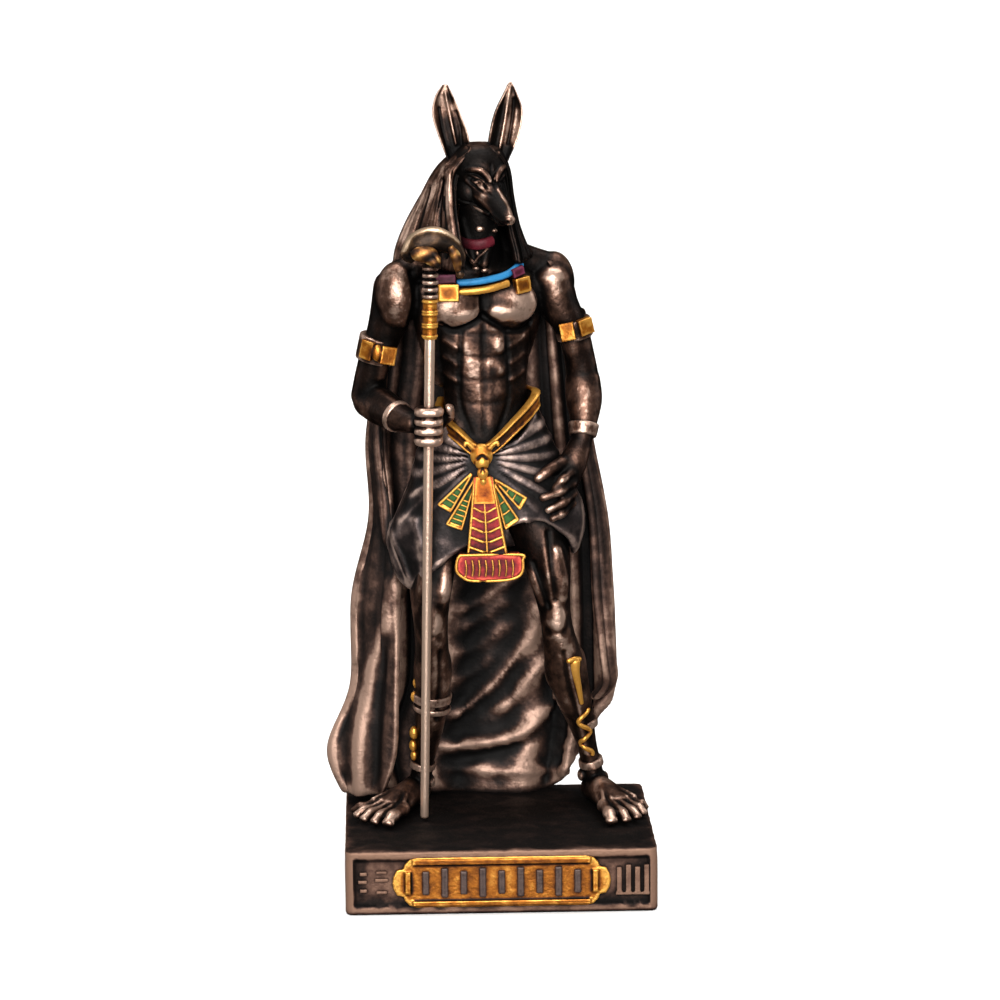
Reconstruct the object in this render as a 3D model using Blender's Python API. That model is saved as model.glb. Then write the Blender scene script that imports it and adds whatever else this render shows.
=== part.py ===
import math

import bmesh
import bpy
import numpy as np

for old in list(bpy.data.objects):
    bpy.data.objects.remove(old, do_unlink=True)

# Driving dimensions, in millimetres. The front faces -Y and the plinth stands on z = 0.
MM = 0.001
PLINTH_WIDTH = 34.4
PLINTH_DEPTH = 28.0
PLINTH_HEIGHT = 7.34
PLINTH_EDGE = 0.7
FACE_RIM = 0.95
FACE_RECESS = 0.35
CARTOUCHE_WIDTH = 24.0
CARTOUCHE_HEIGHT = 5.7
CARTOUCHE_PROUD = 0.75
STROKE_COUNT = 9
STROKE_DEPTH = 0.3
GLUE_GAP = 0.3
EAR_TIP_HEIGHT = 90.0
HEAD_CENTRE = (-1.3, 2.8, 79.0)
HEAD_TURN = math.radians(28)
HEAD_NOD = math.radians(30)
MUZZLE_LENGTH = 8.6
CHEST_CENTRE = (-1.7, 3.8)
CHEST_TURN = math.radians(15)
CLOTH_THICKNESS = 0.95
KILT_THICKNESS = 0.9
HEAD_CLOTH_THICKNESS = 1.3
STAFF_FOOT = (-8.3, -1.35)
STAFF_TOP = (-6.85, -4.6)
STAFF_TOP_HEIGHT = 75.0
STAFF_RADIUS_TOP = 0.58
STAFF_RADIUS_FOOT = 0.5
FIST_CLEARANCE = 0.28
GRIP_RADIUS = 1.45
FINGER_PITCH = 1.06
NECK_RING_PITCH = 0.85
CAST_GRAIN = 0.34
FIGURE_TRIANGLES = 7700
SCEPTRE_GRAIN = 0.16
SCEPTRE_TRIANGLES = 1100

FOOT_LEVEL = PLINTH_HEIGHT + GLUE_GAP

# Joints of the figure, and how each limb swells between them: share of the way, half width, half depth.
RIGHT_LEG = ((-6.0, 3.6, 46.0), (-7.3, 1.4, 29.6), (-8.6, 5.6, 10.6))
LEFT_LEG = ((3.4, 3.6, 46.0), (6.75, 1.6, 29.8), (11.0, 5.8, 11.0))
RIGHT_ARM = ((-10.8, 2.6, 67.4), (-13.9, 4.2, 54.9), (-8.9, -2.4, 52.9))
LEFT_ARM = ((6.6, 5.6, 67.7), (10.1, 6.1, 56.4), (9.8, 2.6, 49.6))
THIGH = ((0.0, 3.85, 3.8), (0.29, 3.65, 3.75), (0.59, 2.9, 3.35), (0.83, 2.3, 2.8))
SHIN = (
    (0.0, 1.95, 2.4),
    (0.16, 2.05, 2.35),
    (0.32, 2.3, 2.6),
    (0.5, 2.1, 2.35),
    (0.7, 1.6, 1.8),
    (0.86, 1.3, 1.55),
    (1.0, 1.35, 1.85),
)
UPPER_ARM = ((0.0, 2.5, 2.75), (0.24, 2.45, 2.8), (0.5, 2.05, 2.45), (0.8, 1.95, 2.2), (1.0, 2.1, 2.1))
FOREARM = ((0.0, 2.12, 2.12), (0.31, 2.15, 2.05), (0.7, 1.7, 1.7), (1.0, 1.22, 1.35))
TOE_HALF = (0.9, 0.74, 0.7, 0.66, 0.6)

# Plans of the hanging cloths: height, then front edge, side, back, side and front edge, each as
# across and depth, and last the height of the right-hand side, where the hem runs up.
HOOD_PLANS = (
    (82.3, (-2.0, 1.4), (-3.4, 4.4), (-1.3, 7.0), (0.8, 5.0), (0.0, 2.1), 82.0),
    (80.0, (-3.9, 1.1), (-5.6, 5.0), (-1.4, 8.6), (1.5, 5.6), (1.3, 2.4), 80.2),
    (77.0, (-4.2, 0.9), (-7.1, 5.0), (-1.5, 9.3), (1.8, 5.5), (1.9, 2.8), 77.4),
    (74.0, (-3.9, 0.6), (-8.8, 5.0), (-1.6, 9.6), (2.4, 5.3), (2.2, 2.4), 74.4),
    (71.0, (-3.5, -0.3), (-10.0, 4.8), (-1.7, 9.6), (3.2, 5.2), (2.8, 1.6), 71.6),
    (69.0, (-3.6, -0.8), (-10.3, 4.4), (-1.7, 9.6), (4.0, 5.2), (3.0, 1.0), 70.0),
)
CLOAK_PLANS = (
    (70.2, (-9.9, 1.4), (-10.4, 5.4), (0.0, 9.2), (6.8, 6.4), (6.2, 4.0), 70.0),
    (66.0, (-11.8, 6.0), (-12.1, 8.6), (0.0, 10.0), (8.8, 8.0), (8.0, 8.4), 66.0),
    (58.0, (-12.2, 7.2), (-12.6, 9.4), (0.0, 10.2), (9.8, 9.0), (8.8, 8.6), 58.0),
    (49.0, (-12.2, 7.4), (-13.9, 9.8), (0.0, 10.4), (10.9, 9.2), (9.8, 8.2), 49.0),
    (40.0, (-11.4, 6.4), (-13.6, 9.6), (0.0, 10.8), (12.6, 9.2), (11.0, 8.0), 40.0),
    (31.0, (-10.9, 4.6), (-15.6, 8.6), (0.1, 11.2), (13.3, 9.0), (11.4, 7.6), 31.0),
    (20.6, (-11.1, 3.6), (-15.9, 8.0), (0.2, 11.8), (13.6, 8.8), (12.1, 7.2), 23.6),
    (13.6, (-11.4, 3.8), (-19.0, 7.4), (0.2, 11.9), (13.7, 9.2), (12.4, 7.6), 20.4),
    (8.0, (-13.1, 4.6), (-17.3, 7.2), (0.2, 11.3), (12.4, 10.0), (11.2, 8.4), 18.7),
)


def smooth_path(points, steps):
    """A smooth run of rows through a few stations."""
    rows = np.array(points, float)
    padded = np.vstack([2 * rows[0] - rows[1], rows, 2 * rows[-1] - rows[-2]])
    out = []
    for i in range(len(rows) - 1):
        a, b, c, d = padded[i : i + 4]
        for t in np.arange(steps) / steps:
            curve = 2 * b + (c - a) * t + (2 * a - 5 * b + 4 * c - d) * t**2
            out.append(0.5 * (curve + (3 * b - a - 3 * c + d) * t**3))
    out.append(rows[-1])
    return np.array(out)


def unit(v):
    v = np.asarray(v, float)
    return v / np.maximum(np.linalg.norm(v, axis=-1, keepdims=True), 1e-9)


def loft(rings):
    """A closed shell over rings of equal count, with a fan at each end."""
    rings = np.asarray(rings, float)
    m, n, _ = rings.shape
    points = [tuple(p) for p in rings.reshape(-1, 3)]
    points += [tuple(rings[0].mean(0)), tuple(rings[-1].mean(0))]
    faces = []
    for j in range(n):
        k = (j + 1) % n
        for i in range(m - 1):
            faces.append((i * n + j, i * n + k, (i + 1) * n + k, (i + 1) * n + j))
        faces.append((m * n, k, j))
        faces.append((m * n + 1, (m - 1) * n + j, (m - 1) * n + k))
    return points, faces


def limb(stations, side=(1, 0, 0), steps=5, around=18, cap=0.8):
    """A rounded limb through rows of x, y, z, half width and half depth."""
    rows = smooth_path(stations, steps)
    centre, half = rows[:, :3], np.maximum(rows[:, 3:5], 0.05)
    along = unit(np.gradient(centre, axis=0))
    across = unit(np.array(side) - (along @ np.array(side, float))[:, None] * along)
    ahead = np.cross(along, across)
    turn = np.linspace(0, 2 * math.pi, around, endpoint=False)
    places = [(i, 0.0, 1.0) for i in range(len(rows))]
    bend = (1.35, 0.9, 0.45)
    places = [(0, -math.sin(a), math.cos(a)) for a in bend] + places
    places += [(len(rows) - 1, math.sin(a), math.cos(a)) for a in bend[::-1]]
    rings = []
    for i, out, scale in places:
        middle = centre[i] + along[i] * out * half[i].min() * cap
        ring = across[i] * half[i, 0] * scale * np.cos(turn)[:, None]
        rings.append(middle + ring + ahead[i] * half[i, 1] * scale * np.sin(turn)[:, None])
    return loft(rings)


def between(start, end, girths, size=1.0, bow=0.0):
    """Stations of a limb from joint to joint, which swells by its girths and bows to +X."""
    start, end = np.array(start), np.array(end)
    stations = []
    for share, half_width, half_depth in girths:
        middle = start + (end - start) * share
        middle[0] += bow * math.sin(math.pi * share)
        stations.append((*middle, half_width * size, half_depth * size))
    return stations


def ball(centre, radii, side=(1, 0, 0), up=(0, 0, 1)):
    """An ellipsoid with its radii along side, ahead and up."""
    side, up = unit(side), unit(up)
    ahead = np.cross(up, side)
    rings = []
    for lat in np.linspace(-1.45, 1.45, 12):
        turn = np.linspace(0, 2 * math.pi, 18, endpoint=False)[:, None]
        flat = side * radii[0] * np.cos(turn) + ahead * radii[1] * np.sin(turn)
        rings.append(np.array(centre) + flat * math.cos(lat) + up * radii[2] * math.sin(lat))
    return loft(rings)


def slab(corners, thickness, lean=(0, -1, 0)):
    """A flat plate over a short outline, thick towards the lean."""
    base = np.array(corners, float)
    push = np.array(lean, float) * thickness
    return loft([base, base + push])


def sheet(columns, thickness, rows_each=7, columns_each=5, fold=None):
    """A hanging cloth through guide columns, pleated by a fold function of its two runs."""
    down = np.array([smooth_path(c, rows_each) for c in columns])
    grid = np.array([smooth_path(down[:, j], columns_each) for j in range(down.shape[1])])
    m, n, _ = grid.shape
    face = unit(np.cross(np.gradient(grid, axis=1), np.gradient(grid, axis=0)))
    if fold is not None:
        u, v = np.meshgrid(np.linspace(0, 1, n), np.linspace(0, 1, m))
        grid = grid + face * fold(u, v)[:, :, None]
    face = unit(np.cross(np.gradient(grid, axis=1), np.gradient(grid, axis=0)))
    half = thickness / 2
    points = np.concatenate([(grid + face * half).reshape(-1, 3), (grid - face * half).reshape(-1, 3)])
    faces = []
    for i in range(m - 1):
        for j in range(n - 1):
            a = i * n + j
            faces.append((a, a + 1, a + n + 1, a + n))
            faces.append(tuple(m * n + k for k in (a, a + n, a + n + 1, a + 1)))
    rim = [j for j in range(n)] + [i * n + n - 1 for i in range(1, m)]
    rim += [(m - 1) * n + j for j in range(n - 2, -1, -1)] + [i * n for i in range(m - 2, 0, -1)]
    for a, b in zip(rim, rim[1:] + rim[:1]):
        faces.append((a, a + m * n, b + m * n, b))
    return [tuple(p) for p in points], faces


def joined(shells, name):
    """Closed shells in one mesh object, still in millimetres."""
    points, faces = [], []
    for shell_points, shell_faces in shells:
        start = len(points)
        points += shell_points
        faces += [tuple(start + k for k in f) for f in shell_faces]
    mesh = bpy.data.meshes.new(name)
    mesh.from_pydata(points, [], faces)
    obj = bpy.data.objects.new(name, mesh)
    bpy.context.scene.collection.objects.link(obj)
    return obj


def settled(obj):
    """Replaces the object's mesh by what its modifiers make of it."""
    bpy.context.view_layer.update()
    made = obj.evaluated_get(bpy.context.evaluated_depsgraph_get())
    mesh = bpy.data.meshes.new_from_object(made)
    obj.modifiers.clear()
    obj.data = mesh
    return obj


def cast_solid(obj, grain):
    """One skin round all of the shells, as one casting has."""
    skin = obj.modifiers.new("casting", "REMESH")
    skin.mode = "VOXEL"
    skin.voxel_size = grain
    return settled(obj)


def corners_of(mesh):
    co = np.empty(len(mesh.vertices) * 3)
    mesh.vertices.foreach_get("co", co)
    return co.reshape(-1, 3)


def relaxed(obj, rounds, keep=0.53):
    """Softens the skin and then swells it back, so that thin pieces keep their size."""
    mesh = obj.data
    co = corners_of(mesh)
    ends = np.empty(len(mesh.edges) * 2, np.int32)
    mesh.edges.foreach_get("vertices", ends)
    ends = ends.reshape(-1, 2)
    count = np.bincount(ends.ravel(), minlength=len(co))[:, None]
    for step in range(rounds * 2):
        total = np.zeros_like(co)
        for axis in range(3):
            total[:, axis] = np.bincount(ends[:, 0], co[ends[:, 1], axis], len(co))
            total[:, axis] += np.bincount(ends[:, 1], co[ends[:, 0], axis], len(co))
        co += (0.5 if step % 2 == 0 else -keep) * (total / count - co)
    mesh.vertices.foreach_set("co", co.ravel())
    mesh.update()


def scored(obj, path, width, height, layer=(-9.0, 3.5)):
    """Raises the skin along a path seen from the front, or sinks it where the height is negative."""
    mesh = obj.data
    co = corners_of(mesh)
    normal = np.empty(len(mesh.vertices) * 3)
    mesh.vertices.foreach_get("normal", normal)
    normal = normal.reshape(-1, 3)
    towards = -normal[:, 1]
    run = smooth_path(path, 6)
    box = (co[:, 0] > run[:, 0].min() - 2) & (co[:, 0] < run[:, 0].max() + 2)
    box &= (co[:, 2] > run[:, 1].min() - 2) & (co[:, 2] < run[:, 1].max() + 2) & (towards > 0.1)
    box &= (co[:, 1] > layer[0]) & (co[:, 1] < layer[1])
    near = np.flatnonzero(box)
    flat = co[near][:, [0, 2]]
    best = np.full(len(near), 1e9)
    for a, b in zip(run[:-1], run[1:]):
        span = b - a
        t = np.clip(((flat - a) @ span) / max(span @ span, 1e-9), 0, 1)
        best = np.minimum(best, np.linalg.norm(flat - a - t[:, None] * span, axis=1))
    bump = height * np.exp(-((best / width) ** 2))
    co[near] += normal[near] * bump[:, None]
    mesh.vertices.foreach_set("co", co.ravel())
    mesh.update()


def thinned(obj, triangles):
    """Fewer faces, spent where the form turns most."""
    faces = sum(len(p.vertices) - 2 for p in obj.data.polygons)
    fewer = obj.modifiers.new("fewer faces", "DECIMATE")
    fewer.ratio = min(1.0, triangles / faces)
    return settled(obj)


def cut(obj, tool):
    """Takes the tool's shape out of the object, and hides the tool."""
    tool.hide_render = True
    tool.display_type = "WIRE"
    saw = obj.modifiers.new("cut", "BOOLEAN")
    saw.operation = "DIFFERENCE"
    saw.solver = "EXACT"
    saw.object = tool
    settled(obj)
    bpy.data.objects.remove(tool, do_unlink=True)
    return obj


def coloured(obj, name, colour, metallic, roughness, rounded=True):
    """One finish on the whole piece, smooth shading where it is round, and its size in metres."""
    finish = bpy.data.materials.new(name)
    finish.use_nodes = True
    shader = finish.node_tree.nodes["Principled BSDF"]
    linear = [((int(colour[i : i + 2], 16) / 255 + 0.055) / 1.055) ** 2.4 for i in (0, 2, 4)]
    shader.inputs["Base Color"].default_value = (*linear, 1)
    shader.inputs["Metallic"].default_value = metallic
    shader.inputs["Roughness"].default_value = roughness
    obj.data.materials.clear()
    obj.data.materials.append(finish)
    obj.data.vertices.foreach_set("co", (corners_of(obj.data) * MM).ravel())
    if rounded:
        obj.data.shade_smooth()
    obj.data.update()


def box(low, high, name):
    (x0, y0, z0), (x1, y1, z1) = low, high
    floor = [(x0, y0, z0), (x1, y0, z0), (x1, y1, z0), (x0, y1, z0)]
    return joined([loft([floor, [(x, y, z1) for x, y, z in floor]])], name)


def outward(obj):
    """Turns every face out, so that a cut or a solid reads it the right way round."""
    work = bmesh.new()
    work.from_mesh(obj.data)
    bmesh.ops.recalc_face_normals(work, faces=work.faces)
    work.to_mesh(obj.data)
    work.free()
    return obj


def chest(across, ahead, z):
    """A point of the turned chest: across to the figure's left, ahead to the front."""
    c, s = math.cos(CHEST_TURN), math.sin(CHEST_TURN)
    x = CHEST_CENTRE[0] + across * c + ahead * s
    return (x, CHEST_CENTRE[1] + across * s - ahead * c, z)


HEAD_SIDE = np.array((math.cos(HEAD_TURN), math.sin(HEAD_TURN), 0))
HEAD_AHEAD = np.array(
    (
        math.sin(HEAD_TURN) * math.cos(HEAD_NOD),
        -math.cos(HEAD_TURN) * math.cos(HEAD_NOD),
        -math.sin(HEAD_NOD),
    )
)
HEAD_UP = np.cross(HEAD_SIDE, -HEAD_AHEAD)


def head(across, ahead, up):
    """A point of the turned and nodding head."""
    return tuple(np.array(HEAD_CENTRE) + HEAD_SIDE * across + HEAD_AHEAD * ahead + HEAD_UP * up)


def head_row(across, ahead, up, half_width, half_height):
    return (*head(across, ahead, up), half_width, half_height)


def torso_shells():
    """Trunk, chest, belly blocks, neck and shoulders."""
    lean = (math.cos(CHEST_TURN * 0.8), math.sin(CHEST_TURN * 0.8), 0)
    trunk = [
        (-1.0, 3.6, 42.5, 5.6, 3.6),
        (-1.0, 3.6, 46.0, 6.3, 3.9),
        (-1.0, 3.5, 50.0, 5.5, 3.4),
        (-0.9, 3.4, 54.0, 4.6, 3.0),
        (-1.0, 3.4, 58.0, 5.2, 3.2),
        (-1.4, 3.6, 62.0, 6.2, 3.5),
        (-1.7, 3.9, 65.5, 7.1, 3.6),
        (-1.8, 4.1, 68.3, 6.9, 3.0),
        (-1.7, 4.5, 70.2, 5.0, 2.4),
    ]
    shells = [limb(trunk, side=lean, around=28)]
    for way, reach, width in ((-1, 3.4, 3.5), (1, 3.1, 3.2)):
        shells.append(ball(chest(way * reach, 2.7, 65.4), (width, 1.5, 2.8), side=lean))
        shells.append(
            limb(
                [
                    (*chest(way * 6.3, 0.4, 67.0), 1.7, 1.6),
                    (*chest(way * 5.6, 0.2, 62.5), 1.6, 1.9),
                    (*chest(way * 4.2, -0.2, 57.0), 1.0, 1.4),
                ]
            )
        )
        shells.append(
            limb(
                [
                    (*chest(way * 9.2, -0.4, 68.9), 1.6, 1.7),
                    (*chest(way * 5.0, -0.9, 70.2), 1.8, 1.9),
                    (-1.6 + way * 1.6, 4.6, 72.4, 1.5, 1.7),
                ],
                side=(0, 1, 0),
            )
        )
        for row in range(4):
            z = 61.3 - 2.6 * row
            across = -0.85 - 0.08 * row + way * (1.5 - 0.08 * row)
            shells.append(ball((across, 0.75 + 0.12 * way, z), (1.3, 0.75, 1.2)))
    shells.append(
        limb([(-1.5, 4.0, 69.0, 3.2, 3.1), (-1.4, 3.0, 73.5, 2.5, 2.8), (-1.3, 2.6, 76.5, 2.6, 2.6)])
    )
    return shells


def arm_shells():
    """The right arm holds the staff, and the left hand rests on the kilt."""
    shells = [
        limb(between(*RIGHT_ARM[:2], UPPER_ARM)),
        limb(between(*RIGHT_ARM[1:], FOREARM), side=(0, 0, 1)),
        limb(between(*LEFT_ARM[:2], UPPER_ARM, size=0.97, bow=0.4)),
        limb(between(*LEFT_ARM[1:], FOREARM, size=0.98)),
    ]
    shells.append(ball(chest(-9.3, 0.2, 66.6), (2.5, 2.8, 3.9)))
    shells.append(ball(chest(8.95, 0.0, 67.2), (2.5, 2.7, 3.6)))
    shells.append(
        limb([(-11.2, 1.0, 63.5, 0.9, 0.8), (-12.2, 1.0, 60.5, 1.2, 1.1), (-12.8, 1.7, 57.5, 0.8, 0.8)])
    )
    shells.append(
        limb([(7.8, 3.9, 63.8, 0.9, 0.8), (8.9, 3.9, 60.8, 1.2, 1.1), (9.6, 4.4, 57.8, 0.8, 0.8)])
    )
    # Each band stands a little proud of the arm, with a square plaque in front.
    shells.append(limb([(-12.7, 3.3, 61.4, 2.5, 2.8), (-13.1, 3.5, 59.3, 2.45, 2.7)], cap=0.15))
    shells.append(ball((-12.2, 0.8, 60.3), (1.25, 0.7, 1.15)))
    shells.append(ball((-14.4, 1.4, 60.9), (0.9, 0.7, 1.0)))
    shells.append(limb([(8.9, 6.0, 62.8, 2.3, 2.7), (9.3, 6.1, 61.2, 2.25, 2.6)], cap=0.15))
    shells.append(ball((8.9, 3.5, 61.8), (1.2, 0.6, 1.1)))
    shells.append(
        limb([(-10.9, 0.0, 53.4, 1.95, 1.95), (-10.5, -0.6, 53.2, 1.9, 1.9)], side=(0, 0, 1), cap=0.1)
    )
    shells.append(limb([(10.1, 3.6, 51.4, 1.9, 1.85), (9.9, 3.0, 50.0, 1.7, 1.7)], cap=0.15))
    return shells


def staff_at(z):
    """Where the staff's axis stands at a height, on its lean."""
    t = (z - PLINTH_HEIGHT) / (STAFF_TOP_HEIGHT - PLINTH_HEIGHT)
    return np.array(STAFF_FOOT) + t * (np.array(STAFF_TOP) - np.array(STAFF_FOOT))


def hand_shells():
    """A fist round the staff, and a hand that clutches the kilt's edge."""
    shells = []
    for finger in range(4):
        z = 54.35 - FINGER_PITCH * finger
        x, y = staff_at(z)
        turns = np.radians([150, 200, 245, 290, 335, 380])
        row = [(x + GRIP_RADIUS * math.cos(t), y + GRIP_RADIUS * math.sin(t), z, 0.52, 0.56) for t in turns]
        shells.append(limb(row, side=(0, 0, 1), steps=3, around=12))
    shells.append(ball((-7.9, -2.1, 52.8), (1.3, 1.2, 2.2)))
    shells.append(ball((-6.7, -1.7, 52.7), (1.2, 0.75, 2.0)))
    shells.append(
        limb([(-6.2, -1.9, 52.6, 0.7, 0.7), (-5.1, -2.3, 53.8, 0.6, 0.6), (-4.95, -3.1, 54.7, 0.5, 0.5)])
    )
    shells.append(
        limb(
            [
                (9.8, 2.8, 49.8, 1.3, 1.3),
                (8.8, 1.7, 47.6, 1.7, 1.3),
                (7.7, 0.9, 45.6, 1.8, 1.1),
                (7.2, 0.7, 44.2, 1.6, 0.9),
            ]
        )
    )
    shells.append(
        limb([(7.6, 1.2, 48.0, 0.75, 0.75), (5.9, 0.0, 47.5, 0.65, 0.65), (4.4, -0.5, 46.7, 0.5, 0.5)])
    )
    for finger in range(4):
        z = 46.0 - 1.15 * finger
        x = 8.7 - 0.25 * finger
        row = [
            (x, 0.5, z + 0.3, 0.55, 0.6),
            (x - 1.0, -0.35, z, 0.6, 0.6),
            (x - 2.5, -0.55, z - 0.6, 0.5, 0.5),
        ]
        shells.append(limb(row, side=(0, 0, 1), steps=3, around=12))
    return shells


def leg_shells():
    """Bare legs in a wide stance, each with its knee, calf, greave band and foot."""
    shells = []
    for (hip, knee, ankle), bow in ((LEFT_LEG, -0.1), (RIGHT_LEG, 0.6)):
        shells.append(limb(between(hip, knee, THIGH) + between(knee, ankle, SHIN, bow=bow)))
    # Kneecaps, inner thighs and the outer bulk of each calf.
    shells.append(ball((6.6, -0.3, 29.9), (1.2, 0.9, 1.4)))
    shells.append(ball((-7.2, -0.7, 29.7), (1.2, 0.9, 1.4)))
    shells.append(
        limb([(3.7, 1.2, 38.0, 0.9, 0.9), (4.8, 0.2, 34.5, 1.2, 1.0), (5.6, 0.2, 31.6, 0.7, 0.6)])
    )
    shells.append(
        limb([(6.6, 0.0, 38.0, 0.9, 0.9), (7.1, -0.1, 34.5, 1.1, 1.0), (7.3, 0.1, 31.8, 0.7, 0.6)])
    )
    shells.append(
        limb([(-5.7, 0.8, 37.0, 0.9, 0.9), (-6.0, 0.0, 33.6, 1.1, 1.0), (-6.4, 0.2, 31.2, 0.7, 0.6)])
    )
    shells.append(ball((6.9, 3.4, 24.0), (1.4, 2.0, 3.3)))
    shells.append(ball((9.0, 3.5, 23.4), (1.3, 2.0, 3.1)))
    shells.append(ball((-6.2, 3.3, 23.4), (1.2, 2.0, 3.1)))
    # The greave band, its point up the shin, and the anklet.
    shells.append(limb([(10.0, 4.8, 16.6, 1.85, 2.1), (10.4, 5.1, 14.8, 1.7, 2.0)], cap=0.15))
    shells.append(
        limb(
            [
                (8.1, 0.2, 26.0, 0.9, 0.5),
                (8.7, 1.0, 23.0, 0.8, 0.6),
                (9.5, 2.0, 19.4, 0.5, 0.5),
                (10.0, 2.8, 16.5, 0.7, 0.5),
            ]
        )
    )
    shells.append(limb([(-7.2, 3.4, 20.6, 2.45, 2.6), (-7.3, 3.6, 19.4, 2.4, 2.5)], cap=0.15))
    shells.append(limb([(-7.7, 4.6, 16.4, 1.95, 2.1), (-8.0, 4.9, 14.4, 1.75, 1.95)], cap=0.15))
    left_tips = [(12.6, -5.4), (14.3, -5.0), (15.6, -3.8), (16.5, -2.0), (16.8, 0.4)]
    right_tips = [(-12.4, -4.9), (-13.9, -4.2), (-15.1, -2.9), (-16.0, -1.2), (-16.3, 1.0)]
    shells += foot_shells((10.9, 7.6), (11.9, 3.8), (13.8, -0.4), left_tips)
    return shells + foot_shells((-8.6, 7.6), (-9.8, 4.0), (-12.4, -0.2), right_tips)


def foot_shells(heel, arch, sole, tips):
    """A bare foot that points ahead and out, with five spread toes."""
    out = unit(np.array(sole) - np.array(heel))
    side = np.array((-out[1], out[0]))
    way = -1 if sole[0] > 0 else 1
    low = FOOT_LEVEL - 0.2
    foot = [
        (*heel, low + 1.25, 1.35, 1.25),
        (*arch, low + 1.7, 1.65, 1.7),
        (*sole, low + 1.15, 2.5, 1.15),
    ]
    shells = [limb(foot, side=(*side, 0), cap=0.6)]
    for i, (tip, size) in enumerate(zip(tips, TOE_HALF)):
        root = np.array(sole) + side * (2.0 - 0.95 * i) * way
        middle = root * 0.4 + np.array(tip) * 0.6
        toe = [
            (*root, low + 1.25, size, 0.8),
            (*middle, low + 1.2, size * 0.85, size * 0.85),
            (*tip, low + size * 0.95, size, size * 0.9),
        ]
        shells.append(limb(toe, steps=3, around=12))
    return shells


def head_shells():
    """A jackal's head: skull, long muzzle, jaw, brows, cheeks, nose and tall ears."""
    muzzle = [
        head_row(0, 1.0, 0.4, 2.4, 2.2),
        head_row(0, 3.4, 0.35, 1.8, 1.7),
        head_row(0, 5.6, 0.1, 1.35, 1.35),
        head_row(0, MUZZLE_LENGTH - 1.1, 0.0, 1.1, 1.1),
    ]
    jaw = [
        head_row(0, 0.8, -1.5, 2.0, 1.5),
        head_row(0, 4.0, -1.25, 1.25, 1.0),
        head_row(0, 6.6, -0.95, 0.85, 0.6),
    ]
    shells = [ball(head(0, -0.3, 0.9), (3.1, 3.3, 3.4), side=HEAD_SIDE, up=HEAD_UP)]
    shells.append(limb(muzzle, side=HEAD_SIDE))
    shells.append(limb(jaw, side=HEAD_SIDE))
    shells.append(ball(head(0, MUZZLE_LENGTH - 0.45, 0.45), (0.9, 0.7, 0.7), side=HEAD_SIDE, up=HEAD_UP))
    for way in (-1, 1):
        brow = [
            head_row(way * 0.5, 3.3, 1.8, 0.5, 0.45),
            head_row(way * 1.4, 2.9, 2.1, 0.6, 0.5),
            head_row(way * 2.4, 1.7, 1.9, 0.5, 0.45),
        ]
        shells.append(limb(brow, side=HEAD_UP))
        shells.append(ball(head(way * 1.75, 1.9, -0.5), (1.1, 1.7, 1.4), side=HEAD_SIDE, up=HEAD_UP))
    return shells + ear_shells()


def ear_shells():
    """Two upright leaf-shaped ears, hollow in front, with a thick rim."""
    shells = []
    low, mid, high = EAR_TIP_HEIGHT - 8.7, EAR_TIP_HEIGHT - 5.8, EAR_TIP_HEIGHT - 3.4
    right = [
        (-3.65, 3.6, low, 1.15),
        (-4.2, 3.9, mid, 1.75),
        (-5.05, 4.2, high, 1.65),
        (-5.15, 4.4, high + 1.7, 1.1),
        (-5.05, 4.6, EAR_TIP_HEIGHT - 0.3, 0.35),
    ]
    left = [
        (0.6, 4.2, low, 1.25),
        (1.45, 4.5, mid, 1.8),
        (1.95, 4.8, high, 1.75),
        (2.05, 5.0, high + 1.8, 1.1),
        (2.2, 5.2, EAR_TIP_HEIGHT + 0.3, 0.25),
    ]
    for rows, turn in ((right, 0.1), (left, 0.25)):
        rings = []
        for x, y, z, half in smooth_path(rows, 3):
            centre = np.array((x, y, z))
            side = np.array((math.cos(turn), math.sin(turn), 0))
            ahead = np.array((math.sin(turn), -math.cos(turn), 0))
            run = np.linspace(-1, 1, 9)
            hollow = 0.85 * half * (1 - run**2)
            back = [centre + side * half * r - ahead * h for r, h in zip(run, hollow)]
            wall = 0.75 * (1 - 0.25 * run**2) * min(1, half)
            front = [p + ahead * w for p, w in zip(back, wall)]
            rings.append(back + front[::-1])
        shells.append(loft(rings))
    return shells


def hung(plans):
    """Guide columns of a cloth that hangs round the back, from its plan at a few heights."""
    columns = [[] for _ in range(10)]
    for z, left_edge, left, back, right, right_edge, right_z in plans:
        middle = np.array(back)
        places = []
        for edge, side, height in ((left_edge, left, z), (right_edge, right, right_z)):
            edge, side = np.array(edge), np.array(side)
            between_them = (edge + side) / 2 + np.array((0, -0.35))
            quarter = middle + (side - middle) * np.array((0.78, 0.32))
            inner = middle + (side - middle) * np.array((0.42, 0.06))
            places.append(
                [(*edge, height), (*between_them, height), (*side, height), (*quarter, z), (*inner, z)]
            )
        for column, place in zip(columns, places[0] + places[1][::-1]):
            column.append(place)
    return columns


def cloth_shells():
    """Head cloth, cloak and kilt, as hanging sheets with broad folds."""

    def cloak_folds(u, v):
        sides = np.clip((np.minimum(u, 1 - u) - 0.2) * 8, 0, 1)
        long_folds = np.sin(2 * math.pi * (11.0 * u + 0.5 * v))
        long_folds += 0.5 * np.sin(2 * math.pi * (7.0 * u - 0.3 * v))
        return -(0.3 + 0.35 * v) * long_folds * sides

    def hood_folds(u, v):
        return 0.16 * np.sin(2 * math.pi * 9 * u) * np.clip(v * 3, 0, 1)

    hood = sheet(hung(HOOD_PLANS), HEAD_CLOTH_THICKNESS, columns_each=4, fold=hood_folds)
    cloak = sheet(hung(CLOAK_PLANS), CLOTH_THICKNESS, rows_each=5, fold=cloak_folds)
    return [hood, cloak] + kilt_shells()


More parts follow.
